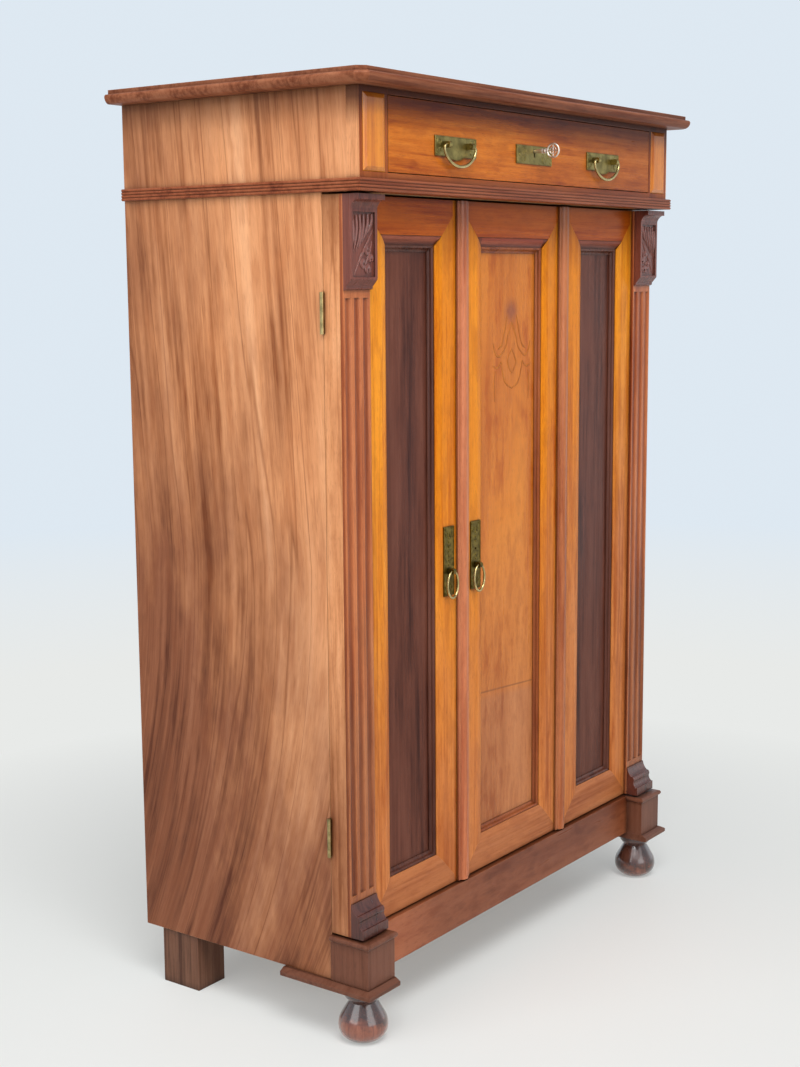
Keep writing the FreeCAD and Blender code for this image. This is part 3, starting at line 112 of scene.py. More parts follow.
class CabinetColours(PropertyGroup):
    """Colours of the finishes."""
    veneer: colour("Side veneer", "Plain veneer of the sides", (0.68, 0.298, 0.13))
    veneer_low: colour("Lower veneer", "Darker part of the side veneer", (0.232, 0.077, 0.035))
    frame_wood: colour("Door stiles", "Golden stiles of the doors", (0.72, 0.215, 0.008))
    stile_low: colour("Foot of stiles", "Faded lower part of the stiles", (0.6, 0.195, 0.05))
    # The top rail colour is a darker copy of the stile wood, partly painted shade under the waist moulding
    top_rail: colour("Top rails", "Browner top rails of the doors", (0.47, 0.095, 0.004))
    bottom_rail: colour("Bottom rails", "Faded bottom rails of the doors", (0.45, 0.145, 0.046))
    # The head colours paint shade on the downward-facing mouldings over the panels, and a painted highlight
    # on their crowns
    head: colour("Head mouldings", "Dark foot of the mouldings over the panels", (0.02, 0.008, 0.006))
    head_red: colour("Head crowns", "Red-brown crown of the same mouldings", (0.14, 0.036, 0.018))
    drawer: colour("Drawer front", "Veneer of the drawer", (0.54, 0.138, 0.011))
    # The frieze colour is also the painted shade at the right end of the drawer front
    frieze: colour("Frieze frame", "Frame round the drawer, and its dull right end", (0.33, 0.076, 0.014))
    block: colour("Frieze blocks", "Raised blocks beside the drawer", (0.66, 0.2, 0.01))
    top: colour("Top", "Moulded top board", (0.285, 0.098, 0.046))
    base_wood: colour("Base", "Corner blocks and base plates", (0.165, 0.06, 0.033))
    mahogany: colour("Mahogany", "Waist moulding and rail of the base", (0.29, 0.078, 0.029))
    pilaster: colour("Pilasters", "Fluted shafts", (0.5, 0.148, 0.048))
    pilaster_low: colour("Pilaster feet", "Worn lower part of the shafts", (0.4, 0.14, 0.055))
    carved: colour("Carved wood", "Capitals and pilaster bases", (0.165, 0.043, 0.027))
    dark_panel: colour("Side panels", "Dark narrow panels", (0.118, 0.033, 0.018))
    dark_moulding: colour("Dark mouldings", "Mouldings round the dark panels", (0.11, 0.034, 0.02))
    centre_panel: colour("Centre panel", "Wide panel of the right door", (0.66, 0.205, 0.024))
    centre_low: colour("Foot of centre panel", "Redder foot of the wide panel", (0.44, 0.178, 0.088))
    bead: colour("Centre bead", "Moulding round the centre panel", (0.3, 0.075, 0.018))
    red_moulding: colour("Door mouldings", "Upright mouldings of the doors", (0.56, 0.175, 0.07))
    mullion_moulding: colour("Mullion moulding", "Browner moulding of the mullion", (0.46, 0.14, 0.045))
    foot: colour("Turned feet", "Polished front feet", (0.078, 0.024, 0.015))
    foot_worn: colour("Worn feet", "Red wood where the polish is gone", (0.29, 0.084, 0.04))
    inside: colour("Inside wood", "Back boards, shelves and drawer box", (0.46, 0.27, 0.125))
    rear_foot: colour("Rear feet", "Plain square feet", (0.165, 0.072, 0.04))
    old_brass: colour("Old brass", "Embossed door plates", (0.155, 0.108, 0.02))
    plate_brass: colour("Drawer plates", "Plates of the drawer", (0.26, 0.2, 0.062))
    bright_brass: colour("Bright brass", "Bails and rings", (0.46, 0.355, 0.155))
    hinge: colour("Hinges", "Dull brass of the hinges", (0.36, 0.28, 0.125))
    key_metal: colour("Key", "Worn key and lock parts", (0.66, 0.58, 0.5))
    floor: colour("Floor", "Plain pale floor", (0.85, 0.865, 0.85))
    backdrop: colour("Backdrop", "Plain pale background", (0.73, 0.81, 0.885))


class CabinetSizes(PropertyGroup):
    """Sizes of the fine pieces."""
    foot_segments: IntProperty(name="Foot segments", description="Facets round a turned foot",
                               min=16, max=128, default=72)
    bail_radius: length("Bail radius", "Half the thickness of a bail at its ends", 0.002)
    ring_radius: length("Ring radius", "Half the thickness of a door ring", 0.0017)
    nail_radius: length("Nail radius", "Half the width of a plate nail", 0.0017)
    rim_radius: length("Rim radius", "Half the thickness of the rim of a plate", 0.0007)
    carving_depth: length("Carving depth", "Rise of the carving over its field", 0.0034)
    inlay_radius: length("Inlay line", "Half the width of an inlay line", 0.0018)
    edge_round: length("Edge rounding", "Softening of the wooden edges", 0.0014)


# Small helpers

def metres(*millimetres):
    return tuple(value / 1000 for value in millimetres)


def both(name):
    """Names of a left and a right piece."""
    return "left_" + name, "right_" + name


def joint_place(name):
    return next(joint for joint in frame["joints"] if joint["name"] == name)["pos_m"]


def clear_selection():
    if bpy.context.mode != "OBJECT":
        bpy.ops.object.mode_set(mode="OBJECT")
    bpy.ops.object.select_all(action="DESELECT")


def edit_all():
    """Edit the active piece, with all of it selected."""
    bpy.ops.object.mode_set(mode="EDIT")
    bpy.ops.mesh.select_all(action="SELECT")


def choose(pieces):
    """Select these pieces, with the first one active."""
    clear_selection()
    for piece in pieces:
        piece.select_set(True)
    bpy.context.view_layer.objects.active = pieces[0]


def join(pieces, name):
    """One piece from several, at the origin."""
    choose(pieces)
    if len(pieces) > 1:
        bpy.ops.object.join()
    bpy.ops.object.transform_apply(location=True, rotation=True, scale=True)
    piece = bpy.context.active_object
    piece.name = piece.data.name = name
    return piece


def outward():
    """Point all faces of the active piece outwards."""
    edit_all()
    bpy.ops.mesh.remove_doubles(threshold=1e-6)
    bpy.ops.mesh.normals_make_consistent(inside=False)
    bpy.ops.object.mode_set(mode="OBJECT")


def settle(pieces, name, body, finish, stands_for=()):
    """Join the pieces, give them their finish and hang them on a body."""
    piece = join(pieces, name)
    outward()
    bpy.ops.object.shade_smooth_by_angle(angle=math.radians(40))
    piece.data.materials.clear()
    piece.data.materials.append(finish)
    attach(piece, body)
    if stands_for:
        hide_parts(*stands_for)
    return piece


def wire(points, radius, closed=False, swell=None, straight=False):
    """Round bar along a smooth line; swell gives the thickness share at each point."""
    clear_selection()
    bpy.ops.curve.primitive_bezier_curve_add(location=(0, 0, 0))
    curve = bpy.context.active_object.data
    curve.dimensions, curve.use_fill_caps = "3D", not closed
    curve.resolution_u = 1 if straight else 6
    curve.bevel_depth, curve.bevel_resolution = radius, 3
    spline = curve.splines[0]
    spline.bezier_points.add(len(points) - len(spline.bezier_points))
    for knot, point, share in zip(spline.bezier_points, points, swell or [1.0] * len(points)):
        knot.co, knot.radius = point, share
        knot.handle_left_type = knot.handle_right_type = "VECTOR" if straight else "AUTO"
    spline.use_cyclic_u = closed
    bpy.ops.object.convert(target="MESH")
    return bpy.context.active_object


def lathe(rings, centre, segments):
    """Turned piece: a disc extruded upwards through rings of (radius, height)."""
    clear_selection()
    radius, height = rings[0]
    bpy.ops.mesh.primitive_circle_add(vertices=segments, radius=radius, fill_type="NGON",
                                      location=centre + Vector((0, 0, height)))
    piece = bpy.context.active_object
    edit_all()
    for new_radius, new_height in rings[1:]:
        bpy.ops.mesh.extrude_region_move(TRANSFORM_OT_translate={"value": (0, 0, new_height - height)})
        share = new_radius / radius
        bpy.ops.transform.resize(value=(share, share, 1), center_override=centre + Vector((0, 0, new_height)))
        radius, height = new_radius, new_height
    bpy.ops.object.mode_set(mode="OBJECT")
    return piece


def flatten(piece, plane_y, share):
    """Press a piece towards a plane square to Y."""
    choose([piece])
    edit_all()
    bpy.ops.transform.resize(value=(1, share, 1), center_override=(0, plane_y, 0))
    bpy.ops.object.mode_set(mode="OBJECT")
    return piece


def dome(centre, radius, height):
    """Round nail head on a plate that faces the front."""
    clear_selection()
    bpy.ops.mesh.primitive_uv_sphere_add(segments=14, ring_count=8, radius=radius, location=centre)
    piece = bpy.context.active_object
    piece.scale = (1, height / radius, 1)
    return piece


# Materials

class Nodes:
    """Adds and links the nodes of a material or of the world."""

    def __init__(self, block):
        block.use_nodes = True
        self.nodes = block.node_tree.nodes
        self.links = block.node_tree.links

    def put(self, socket, value):
        """Link a socket, or set a constant on it."""
        if isinstance(value, NodeSocket):
            self.links.new(value, socket)
        else:
            socket.default_value = value

    def add(self, kind, values=(), **settings):
        """New node with these settings, its inputs filled by name or number."""
        node = self.nodes.new(kind)
        for name, value in settings.items():
            setattr(node, name, value)
        for key, value in dict(values).items():
            self.put(node.inputs[key], value)
        return node

    def math(self, kind, first, second=0.0, third=0.0):
        return self.add("ShaderNodeMath", enumerate((first, second, third)), operation=kind).outputs[0]

    def seen(self):
        """One for what the camera sees, straight, mirrored or through glass."""
        path = self.add("ShaderNodeLightPath")
        result = path.outputs["Is Camera Ray"]
        for ray in ("Is Glossy Ray", "Is Transmission Ray"):
            result = self.math("MAXIMUM", result, path.outputs[ray])
        return result


class Tree(Nodes):
    """Nodes of one material, with the coordinates of its object."""

    def __init__(self, name):
        self.material = bpy.data.materials.new(name)
        super().__init__(self.material)
        self.shader = self.nodes["Principled BSDF"]
        self.place = self.add("ShaderNodeTexCoord").outputs["Object"]
        self.across, self.deep, self.up = self.add("ShaderNodeSeparateXYZ", {0: self.place}).outputs

    def surface(self, values):
        """Fill inputs of the shader by name."""
        for name, value in values.items():
            self.put(self.shader.inputs[name], value)

    def noise(self, vector, size, shift, detail, rough, wander=0.0):
        """Noise with features of this size."""
        values = {"Vector": vector, "Scale": size, "Location": (shift,) * 3}
        scaled = self.add("ShaderNodeMapping", values, vector_type="TEXTURE").outputs["Vector"]
        values = {"Vector": scaled, "Scale": 1.0, "Detail": detail, "Roughness": rough, "Distortion": wander}
        return self.add("ShaderNodeTexNoise", values).outputs["Fac"]

    def cloud(self, size, detail=3.0, rough=0.6):
        """Soft patches of this size."""
        return self.noise(self.place, size, 0.0, detail, rough)

    def total(self, *shares):
        """Sum of (value, weight) pairs."""
        value, weight = shares[0]
        result = self.math("MULTIPLY", value, weight)
        for value, weight in shares[1:]:
            result = self.math("MULTIPLY_ADD", value, weight, result)
        return result

    def span(self, value, low, high, new_low, new_high):
        return self.add("ShaderNodeMapRange", enumerate((value, low, high, new_low, new_high))).outputs[0]

    def near(self, value, middle, reach, share):
        """Strength that falls from a middle value to nothing at its reach."""
        return self.span(self.math("ABSOLUTE", self.math("SUBTRACT", value, middle)), 0.0, reach, share, 0.0)

    def spot(self, first, second):
        """Strength round the crossing of two lines, each (value, middle, reach)."""
        return self.math("MULTIPLY", self.near(*first, 1.0), self.near(*second, 1.0))

    def ramp(self, value, stops):
        node = self.add("ShaderNodeValToRGB", {"Fac": value})
        band = node.color_ramp
        while len(band.elements) < len(stops):
            band.elements.new(0.5)
        for element, (place, tone) in zip(band.elements, stops):
            element.position, element.color = place, (*tone, 1.0)
        return node.outputs["Color"]

    def mix(self, share, first, second, kind="MIX"):
        first, second = (tone if isinstance(tone, NodeSocket) else (*tone, 1.0)
                         for tone in (first, second))
        values = {0: share, 6: first, 7: second}
        return self.add("ShaderNodeMix", values, data_type="RGBA", blend_type=kind).outputs[2]

    def fade(self, value, start, full, share, first, second, kind="MIX"):
        """First colour at the start of a range, with a share of the second at its full end."""
        return self.mix(self.span(value, start, full, 0.0, share), first, second, kind)

    def hollows(self, reach, deep, clear, share):
        """Ambient occlusion mask: its share deep in hollows, none on clear faces; it lays grime and painted
        shade on the woods and patina on the metals.
        """
        node = self.add("ShaderNodeAmbientOcclusion", {"Distance": reach}, samples=6)
        return self.span(node.outputs["AO"], deep, clear, share, 0.0)

    def relief(self, strength, distance, height, normal=None):
        """Fine relief of the surface, on a softened normal where one is given."""
        node = self.add("ShaderNodeBump", {"Strength": strength, "Distance": distance, "Height": height})
        if normal is not None:
            self.put(node.inputs["Normal"], normal)
        self.surface({"Normal": node.outputs["Normal"]})

    def given(self, nodes):
        """The finished material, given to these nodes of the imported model."""
        for name in nodes:
            for slot in frame["nodes"][name].material_slots:
                slot.material = self.material
        return self.material


def tint(tone, share):
    return tuple(min(1.0, part * share) for part in tone)


def deeper(tone, share):
    """Darker and redder shade of a wood."""
    return tuple((1 - 0.26 * share) * part ** (1 + 0.30 * share) for part in tone)


def paler(tone, share):
    """Lighter and yellower shade of a wood."""
    return tuple(min(1.0, (1 + 0.08 * share) * part ** (1 - 0.10 * share)) for part in tone)


def wood(name, tone, along, gloss=0.36, shine=0.25, contrast=1.0, streak=0.006, lines=0.35, patches=0.5,
         grime_and_shade=0.8, reach=0.014, wear_and_sheen=0.3, coat=0.0, shift=0.0, run=1.0, fine=0.34,
         overhang_shade=None, bend=None, zones=None, on=()):
    """Varnished wood: figure, streaks, growth lines and fibres, painted shade under overhangs, grime and
    painted shade in hollows, and worn edges that also carry a painted highlight.
    """
    tree = Tree(name)
    place = bend(tree) if bend else tree.place

    def grain(across_size, along_size, detail, rough=0.55, wander=0.0):
        size = [across_size] * 3
        size[along] = along_size * run
        return tree.noise(place, size, shift, detail, rough, wander)

    broad = grain(8 * streak, 0.45, 3.0, 0.5, 0.6)
    streaks = grain(streak, 0.22, 4.0, 0.55, 0.2)
    growth = grain(3.4 * streak, 0.7, 1.5, 0.4, 0.2)
    mottle = grain(0.02, 0.06, 3.0, 0.6)
    fibres = grain(0.0012, 0.04, 2.0)
    pores = tree.span(grain(0.0008, 0.011, 1.0), 0.6, 0.72, 0.0, 1.0)
    blend = tree.total((broad, 0.4), (streaks, fine), (mottle, 0.5 - fine), (fibres, 0.1))

    def shades(middle):
        """Ramp from the deeper to the paler shade of a wood."""
        stops = ((0.39, deeper(middle, contrast)), (0.5, tuple(middle)), (0.61, paler(middle, contrast)))
        return tree.ramp(blend, stops)

    base = zones(tree, shades) if zones else shades(tone)
    base = tree.mix(tree.near(growth, 0.5, 0.016, lines), base, LINE_SHADE, "MULTIPLY")
    base = tree.fade(mottle, 0.48, 0.66, patches, base, PATCH_SHADE, "MULTIPLY")
    base = tree.mix(tree.math("MULTIPLY", pores, 0.5), base, PORE_SHADE, "MULTIPLY")
    # Painted shade under an overhang, growing upwards to its full share
    if overhang_shade:
        base = tree.fade(tree.up, *overhang_shade, base, UNDER_SHADE, "MULTIPLY")
    round_edge = {"Radius": bpy.context.scene.cabinet_sizes.edge_round}
    soft = tree.add("ShaderNodeBevel", round_edge, samples=4).outputs["Normal"]
    # Grime together with painted shade: darker deep in hollows and close under overhangs, as far as the
    # occlusion reach goes
    if grime_and_shade:
        base = tree.mix(tree.hollows(reach, 0.3, 0.96, grime_and_shade), base, GRIME_AND_SHADE)
    # Worn edges together with a painted highlight: rounded edges and ridges are lightened
    if wear_and_sheen:
        normal = tree.add("ShaderNodeNewGeometry").outputs["Normal"]
        turn = tree.add("ShaderNodeVectorMath", {0: soft, 1: normal}, operation="DOT_PRODUCT")
        edge = tree.span(turn.outputs["Value"], 0.985, 0.9, 0.0, wear_and_sheen)
        worn = tree.math("MULTIPLY", edge, tree.span(mottle, 0.35, 0.6, 0.4, 1.0))
        base = tree.mix(worn, base, paler(tint(tone, 1.5), 1.0))
    rough = tree.total((streaks, -0.22), (broad, 0.2), (1.0, gloss + 0.01))
    tree.surface({"Base Color": base, "Roughness": rough, "Specular IOR Level": shine,
                  "Coat Weight": coat, "Coat Roughness": 0.12})
    height = tree.math("SUBTRACT", tree.math("MULTIPLY", fibres, 0.5), pores)
    tree.relief(0.2, 0.0004, height, soft)
    return tree.given(on)


def swept_grain(tree):
    """Bend upright grain: a slight lean above, sweeping to the back in the lower part."""
    below = tree.math("MAXIMUM", tree.math("SUBTRACT", SWEEP_LEVEL, tree.up), 0.0)
    above = tree.math("MAXIMUM", tree.math("SUBTRACT", tree.up, SWEEP_LEVEL), 0.0)
    sweep = tree.math("MULTIPLY", tree.math("MULTIPLY", below, below), 0.34)
    bend = tree.math("MULTIPLY_ADD", above, 0.075, sweep)
    place = (tree.across, tree.math("SUBTRACT", tree.deep, bend), tree.up)
    return tree.add("ShaderNodeCombineXYZ", enumerate(place)).outputs[0]


# Painters: what a wood calls to lay its shades on the parts of a piece

def plain(tone, tree, shades):
    """One wood all over."""
    return shades(tone)


def side_zones(tone, tree, shades):
    """Side veneer: darker and redder below and behind, partly the veneer's own colour and partly painted
    shade; paler by the front edge at half height, partly painted light.
    """
    cloud = tree.cloud((0.07, 0.07, 0.2), 4.0)
    low = tree.span(tree.up, 1.05, 0.25, 0.0, 0.85)
    behind = tree.math("SUBTRACT", tree.span(tree.deep, -0.16, 0.22, 0.0, 0.75), 0.95)
    shade = tree.math("MULTIPLY_ADD", cloud, 1.5, tree.math("ADD", low, behind))
    # Darker veneer below and behind, together with painted shade
    base = tree.fade(shade, 0.0, 1.0, 0.95, shades(tone.veneer), shades(tone.veneer_low))
    # Paler veneer by the front edge, together with painted light
    front = tree.spot((tree.deep, -0.16, 0.09), (tree.up, 0.62, 0.2))
    pale = tree.math("MULTIPLY", front, tree.span(cloud, 0.35, 0.65, 0.25, 1.0))
    return tree.mix(pale, base, shades(paler(tint(tone.veneer, 1.15), 1.0)))


def edged(tone, face, plane, tree, shades):
    """A painted face, with the side veneer on the outer edge."""
    outer = tree.math("GREATER_THAN", tree.math("ABSOLUTE", tree.across), plane)
    return tree.mix(outer, face(tree, shades), side_zones(tone, tree, shades))


def faded_foot(high, low, tree, shades):
    """Stile: golden above, faded in the lower part, and with painted shade bringing the same duller tone
    higher up towards the right.
    """
    level = tree.math("MULTIPLY_ADD", tree.cloud((0.04, 0.04, 0.16)), 0.4, tree.up)
    # Painted shade: the duller tone rises higher towards the right
    level = tree.math("SUBTRACT", level, tree.math("MAXIMUM", tree.across, 0.0))
    return tree.fade(level, 0.95, 0.5, 1.0, shades(high), shades(low))


def darker_right(left, right, start, full, share, tree, shades):
    """Board along the front that turns darker towards its right end, as painted shade."""
    return tree.fade(tree.across, start, full, share, shades(left), shades(right))


def two_sided(left, right, tree, shades):
    """One wood left of the middle and another right of it."""
    return tree.mix(tree.math("GREATER_THAN", tree.across, 0.0), shades(left), shades(right))


def worn_foot(tone, tree, shades):
    """Pilaster shaft: red above, faded and patchy in the lower part, with painted shade in its flutes."""
    level = tree.math("MULTIPLY_ADD", tree.cloud((0.03, 0.03, 0.12)), 0.5, tree.up)
    base = tree.fade(level, 0.95, 0.7, 0.9, shades(tone.pilaster), shades(tone.pilaster_low))
    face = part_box("left_pilaster_shaft")[0].y
    # Painted shade: darker deeper in the flutes
    return tree.fade(tree.deep, face, face + FLUTE_DEPTH, 0.75, base, FLUTE_SHADE, "MULTIPLY")


def head_with_painted_shade(tone, low, high, split, tree, shades):
    """Rail whose moulding along its lower edge is painted dark as shade, with a painted highlight on its
    crown and a painted shadow line along its top, redder between the planes of the split.
    """
    above, below = tree.math("GREATER_THAN", tree.up, low), tree.math("LESS_THAN", tree.up, high)
    middle = tree.math("LESS_THAN", tree.math("ABSOLUTE", tree.across), split)
    # Painted highlight: a brighter copy of the crown colour
    crown = tree.mix(middle, shades(tint(tone.head_red, 2.0)), shades(tint(tone.head_red, 3.2)))
    dark = tree.fade(tree.up, low, low + 0.6 * (high - low), 1.0, shades(tone.head), crown)
    # Painted shadow line along the top of the moulding
    dark = tree.mix(tree.near(tree.up, high, 0.0016, 0.9), dark, tone.head)
    return tree.mix(tree.math("MULTIPLY", above, below), shades(tone.top_rail), dark)


def panel_zones(tone, tree, shades):
    """Centre panel: redder below an old joint in the veneer, with a dark bloom over the inlay."""
    height = tree.math("MULTIPLY_ADD", tree.across, 0.06, tree.up)
    low = tree.span(height, 0.47, 0.44, 0.0, 0.65)
    fade = tree.span(tree.up, 0.75, 0.47, 0.0, 0.35)
    base = tree.mix(tree.math("MAXIMUM", low, fade), shades(tone.centre_panel), shades(tone.centre_low))
    base = tree.mix(tree.near(height, JOINT_LEVEL, 0.0022, 0.55), base, JOINT_LINE)
    bloom = tree.spot((tree.across, 0.012, 0.026), (tree.up, 1.083, 0.024))
    return tree.fade(bloom, 0.0, 0.7, 0.65, base, BLOOM)


def foot_zones(tone, tree, shades):
    """Turned feet: dark polish, worn to red wood round the left belly and low on the right foot."""
    level = tree.math("MULTIPLY_ADD", tree.cloud((0.03, 0.03, 0.02)), -0.07, tree.up)
    level = tree.math("MULTIPLY_ADD", tree.math("GREATER_THAN", tree.across, 0.0), 0.018, level)
    return tree.fade(level, 0.006, -0.008, 0.9, shades(tone.foot), shades(tone.foot_worn))


def metal(name, tone, rough, patina=0.5, dark=0.35, grain=0.004, pitted=0.25, on=()):
    """Aged metal: patina in patches, finely pitted, with darker hollows."""
    tree = Tree(name)
    patches = tree.cloud((grain,) * 3, 4.0)
    pits = tree.cloud((0.0011,) * 3, 2.0, 0.55)
    base = tree.ramp(patches, ((0.36, tint(tone, dark)), (0.52, tuple(tone)), (0.68, tint(tone, 1.35))))
    base = tree.mix(tree.hollows(0.004, 0.3, 0.9, patina), base, tint(tone, 0.12))
    tree.surface({"Base Color": base, "Metallic": 1.0,
                  "Roughness": tree.span(patches, 0.35, 0.65, rough + 0.08, rough - 0.04)})
    tree.relief(pitted, 0.0003, tree.math("MULTIPLY_ADD", pits, 0.5, patches))
    return tree.given(on)


def material(name):
    found = bpy.data.materials.get(name)
    if found is None:
        raise RuntimeError("finish " + name + " is not made yet")
    return found


class CABINET_OT_carcass_woods(Operator):
    """Finish the top, sides, frieze, base and inside boards."""
    bl_idname = "cabinet.carcass_woods"
    bl_label = "Carcass woods"

    def execute(self, context):
        tone = context.scene.cabinet_colours
        wood("side_veneer_finish", tone.veneer, UP, 0.42, 0.18, 1.55, 0.011, lines=0.65, patches=0.75,
             grime_and_shade=0.45, run=2.0, fine=0.27, overhang_shade=SIDE_UNDER_TOP, bend=swept_grain,
             zones=partial(side_zones, tone), on=both("side"))
        wood("top_finish", tone.top, ACROSS, 0.46, 0.12, on=["top_board"])
        wood("level_mahogany", tone.mahogany, ACROSS, 0.34, 0.18, shift=0.3, on=["waist_moulding"])
        wood("base_plate_finish", tint(tone.base_wood, 0.9), ACROSS, 0.34, 0.2, 0.7, wear_and_sheen=0.2, shift=0.35,
             on=["base_plates"])
        rail = tint(paler(tone.mahogany, 0.8), 1.06)
        wood("bottom_rail_wood", rail, ACROSS, 0.34, 0.2, 0.8, 0.012, lines=0.1, patches=0.9, shift=0.8,
             fine=0.15, zones=partial(darker_right, rail, tint(rail, 0.66), -0.34, -0.22, 1.0),
             on=["bottom_rail"])
        wood("upright_mahogany", tone.base_wood, UP, 0.34, 0.2, 0.6, lines=0.15, shift=0.2,
             on=["corner_blocks"])
        wood("frieze_rail_finish", tone.frieze, ACROSS, 0.32, 0.15, reach=0.034, shift=0.5, overhang_shade=UNDER_TOP,
             on=["frieze_rails"])
        wood("frieze_stile_finish", tone.frieze, UP, 0.34, 0.15, reach=0.024, shift=0.6, overhang_shade=UNDER_TOP,
             zones=partial(edged, tone, partial(plain, tone.frieze), FRIEZE_EDGE), on=["frieze_stiles"])
        wood("block_finish", tone.block, UP, 0.22, 0.5, 0.9, lines=0.15, patches=0.4, overhang_shade=BLOCK_UNDER_TOP,
             on=["frieze_blocks"])
        wood("rear_foot_finish", tone.rear_foot, UP, 0.5, wear_and_sheen=0.2, on=["rear_feet"])
        level_boards = "floor_board", "shelves", "drawer_divider", "drawer_back", "drawer_bottom"
        deep_boards = "shelf_battens", "drawer_runners", "drawer_sides"
        for name, along, boards in (("upright", UP, ["back_boards"]), ("level", ACROSS, level_boards),
                                    ("deep", DEEP, deep_boards)):
            wood("inside_" + name, tone.inside, along, 0.6, 0.2, 0.8, on=boards)
        return {"FINISHED"}


class CABINET_OT_door_woods(Operator):
    """Finish the doors, their panels, mouldings and pilasters."""
    bl_idname = "cabinet.door_woods"
    bl_label = "Door woods"

    def execute(self, context):
        tone = context.scene.cabinet_colours
        wood("stile_finish", tone.frame_wood, UP, 0.34, 0.12, 1.1, lines=0.2, patches=0.65, fine=0.26,
             overhang_shade=UNDER_WAIST, zones=partial(faded_foot, tone.frame_wood, tone.stile_low),
             on=[*both("door_inner_stile"), "right_door_mullion"])
        outer_face = partial(faded_foot, paler(tone.frame_wood, 1.2), tone.stile_low)
        wood("outer_stile_finish", tone.frame_wood, UP, 0.36, 0.12, 1.1, 0.009, lines=0.4, patches=0.6,
             shift=0.4, overhang_shade=UNDER_WAIST, zones=partial(edged, tone, outer_face, STILE_EDGE),
             on=both("door_outer_stile"))
        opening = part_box("left_door_top_rail")[0].z
        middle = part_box("right_door_mullion")[0].x
        wood("top_rail_finish", tone.top_rail, ACROSS, 0.32, 0.12, lines=0.2, shift=0.1,
             overhang_shade=RAIL_UNDER_WAIST, on=["left_door_top_rail", "right_door_top_rails"],
             zones=partial(head_with_painted_shade, tone, opening - HEAD_LAP, opening + HEAD_WIDTH, middle))
        wood("bottom_rail_finish", tone.bottom_rail, ACROSS, 0.38, 0.15, 0.8, lines=0.1,
             on=["left_door_bottom_rail", "right_door_bottom_rails"])
        wood("dark_panel_finish", tone.dark_panel, UP, 0.3, 0.12, 1.1, 0.009, lines=0.2, wear_and_sheen=0.0,
             on=both("door_panel"))
        wood("dark_moulding_finish", tone.dark_moulding, UP, 0.28, 0.2, grime_and_shade=0.45, on=both("panel_moulding"))
        wood("centre_panel_finish", tone.centre_panel, UP, 0.3, 0.15, 0.9, 0.012, lines=0.1, patches=0.7,
             wear_and_sheen=0.0, fine=0.12, zones=partial(panel_zones, tone), on=["centre_panel"])
        wood("bead_finish", tone.bead, UP, 0.3, 0.2, on=["centre_panel_moulding"])
        wood("red_moulding_finish", tone.red_moulding, UP, 0.28, 0.3, 0.8, lines=0.2, overhang_shade=UNDER_WAIST,
             zones=partial(two_sided, tone.red_moulding, tone.mullion_moulding), on=["door_mouldings"])
        wood("pilaster_finish", tone.pilaster, UP, 0.3, 0.22, grime_and_shade=1.0, reach=0.006, wear_and_sheen=0.6,
             zones=partial(worn_foot, tone), on=both("pilaster_shaft"))
        wood("carved_finish", tone.carved, UP, 0.28, 0.3, 0.8, grime_and_shade=0.9, wear_and_sheen=0.5, on=both("capital"))
        wood("pilaster_base_finish", tint(tone.carved, 0.65), UP, 0.26, 0.5, 0.8, grime_and_shade=0.9, wear_and_sheen=0.5,
             on=both("pilaster_base"))
        return {"FINISHED"}


class CABINET_OT_drawer_wood(Operator):
    """Finish the drawer front."""
    bl_idname = "cabinet.drawer_wood"
    bl_label = "Drawer front"

    def execute(self, context):
        tone = context.scene.cabinet_colours
        wood("drawer_finish", tone.drawer, ACROSS, 0.3, 0.14, 1.5, 0.007, lines=0.2, patches=0.8, fine=0.28,
             overhang_shade=UNDER_TOP, zones=partial(darker_right, tone.drawer, tone.frieze, -0.05, 0.35, 0.6),
             on=["drawer_front"])
        return {"FINISHED"}


class CABINET_OT_metals(Operator):
    """Finish the plates, hinges, locks and bolts."""
    bl_idname = "cabinet.metals"
    bl_label = "Metals"

    def execute(self, context):
        tone = context.scene.cabinet_colours
        metal("old_brass_finish", tone.old_brass, 0.4, 0.85, 0.5, 0.006, on=both("door_plate"))
        metal("plate_brass_finish", tone.plate_brass, 0.4, 0.35, 0.7, 0.016, 0.1,
              on=["drawer_pull_plates", "drawer_escutcheon"])
        metal("bright_brass_finish", tone.bright_brass, 0.24, 0.5, 0.75, 0.012, 0.06)
        metal("hinge_finish", tone.hinge, 0.36, 0.6, 0.6, 0.01, 0.12,
              on=["carcass_hinges", *both("door_hinge_leaves")])
        metal("steel_finish", tint(tone.key_metal, 0.5), 0.42, 0.4, 0.7, 0.014, 0.12,
              on=["drawer_lock_case", "drawer_lock_bolt", "door_lock_case", "door_lock_bolt"])
        return {"FINISHED"}


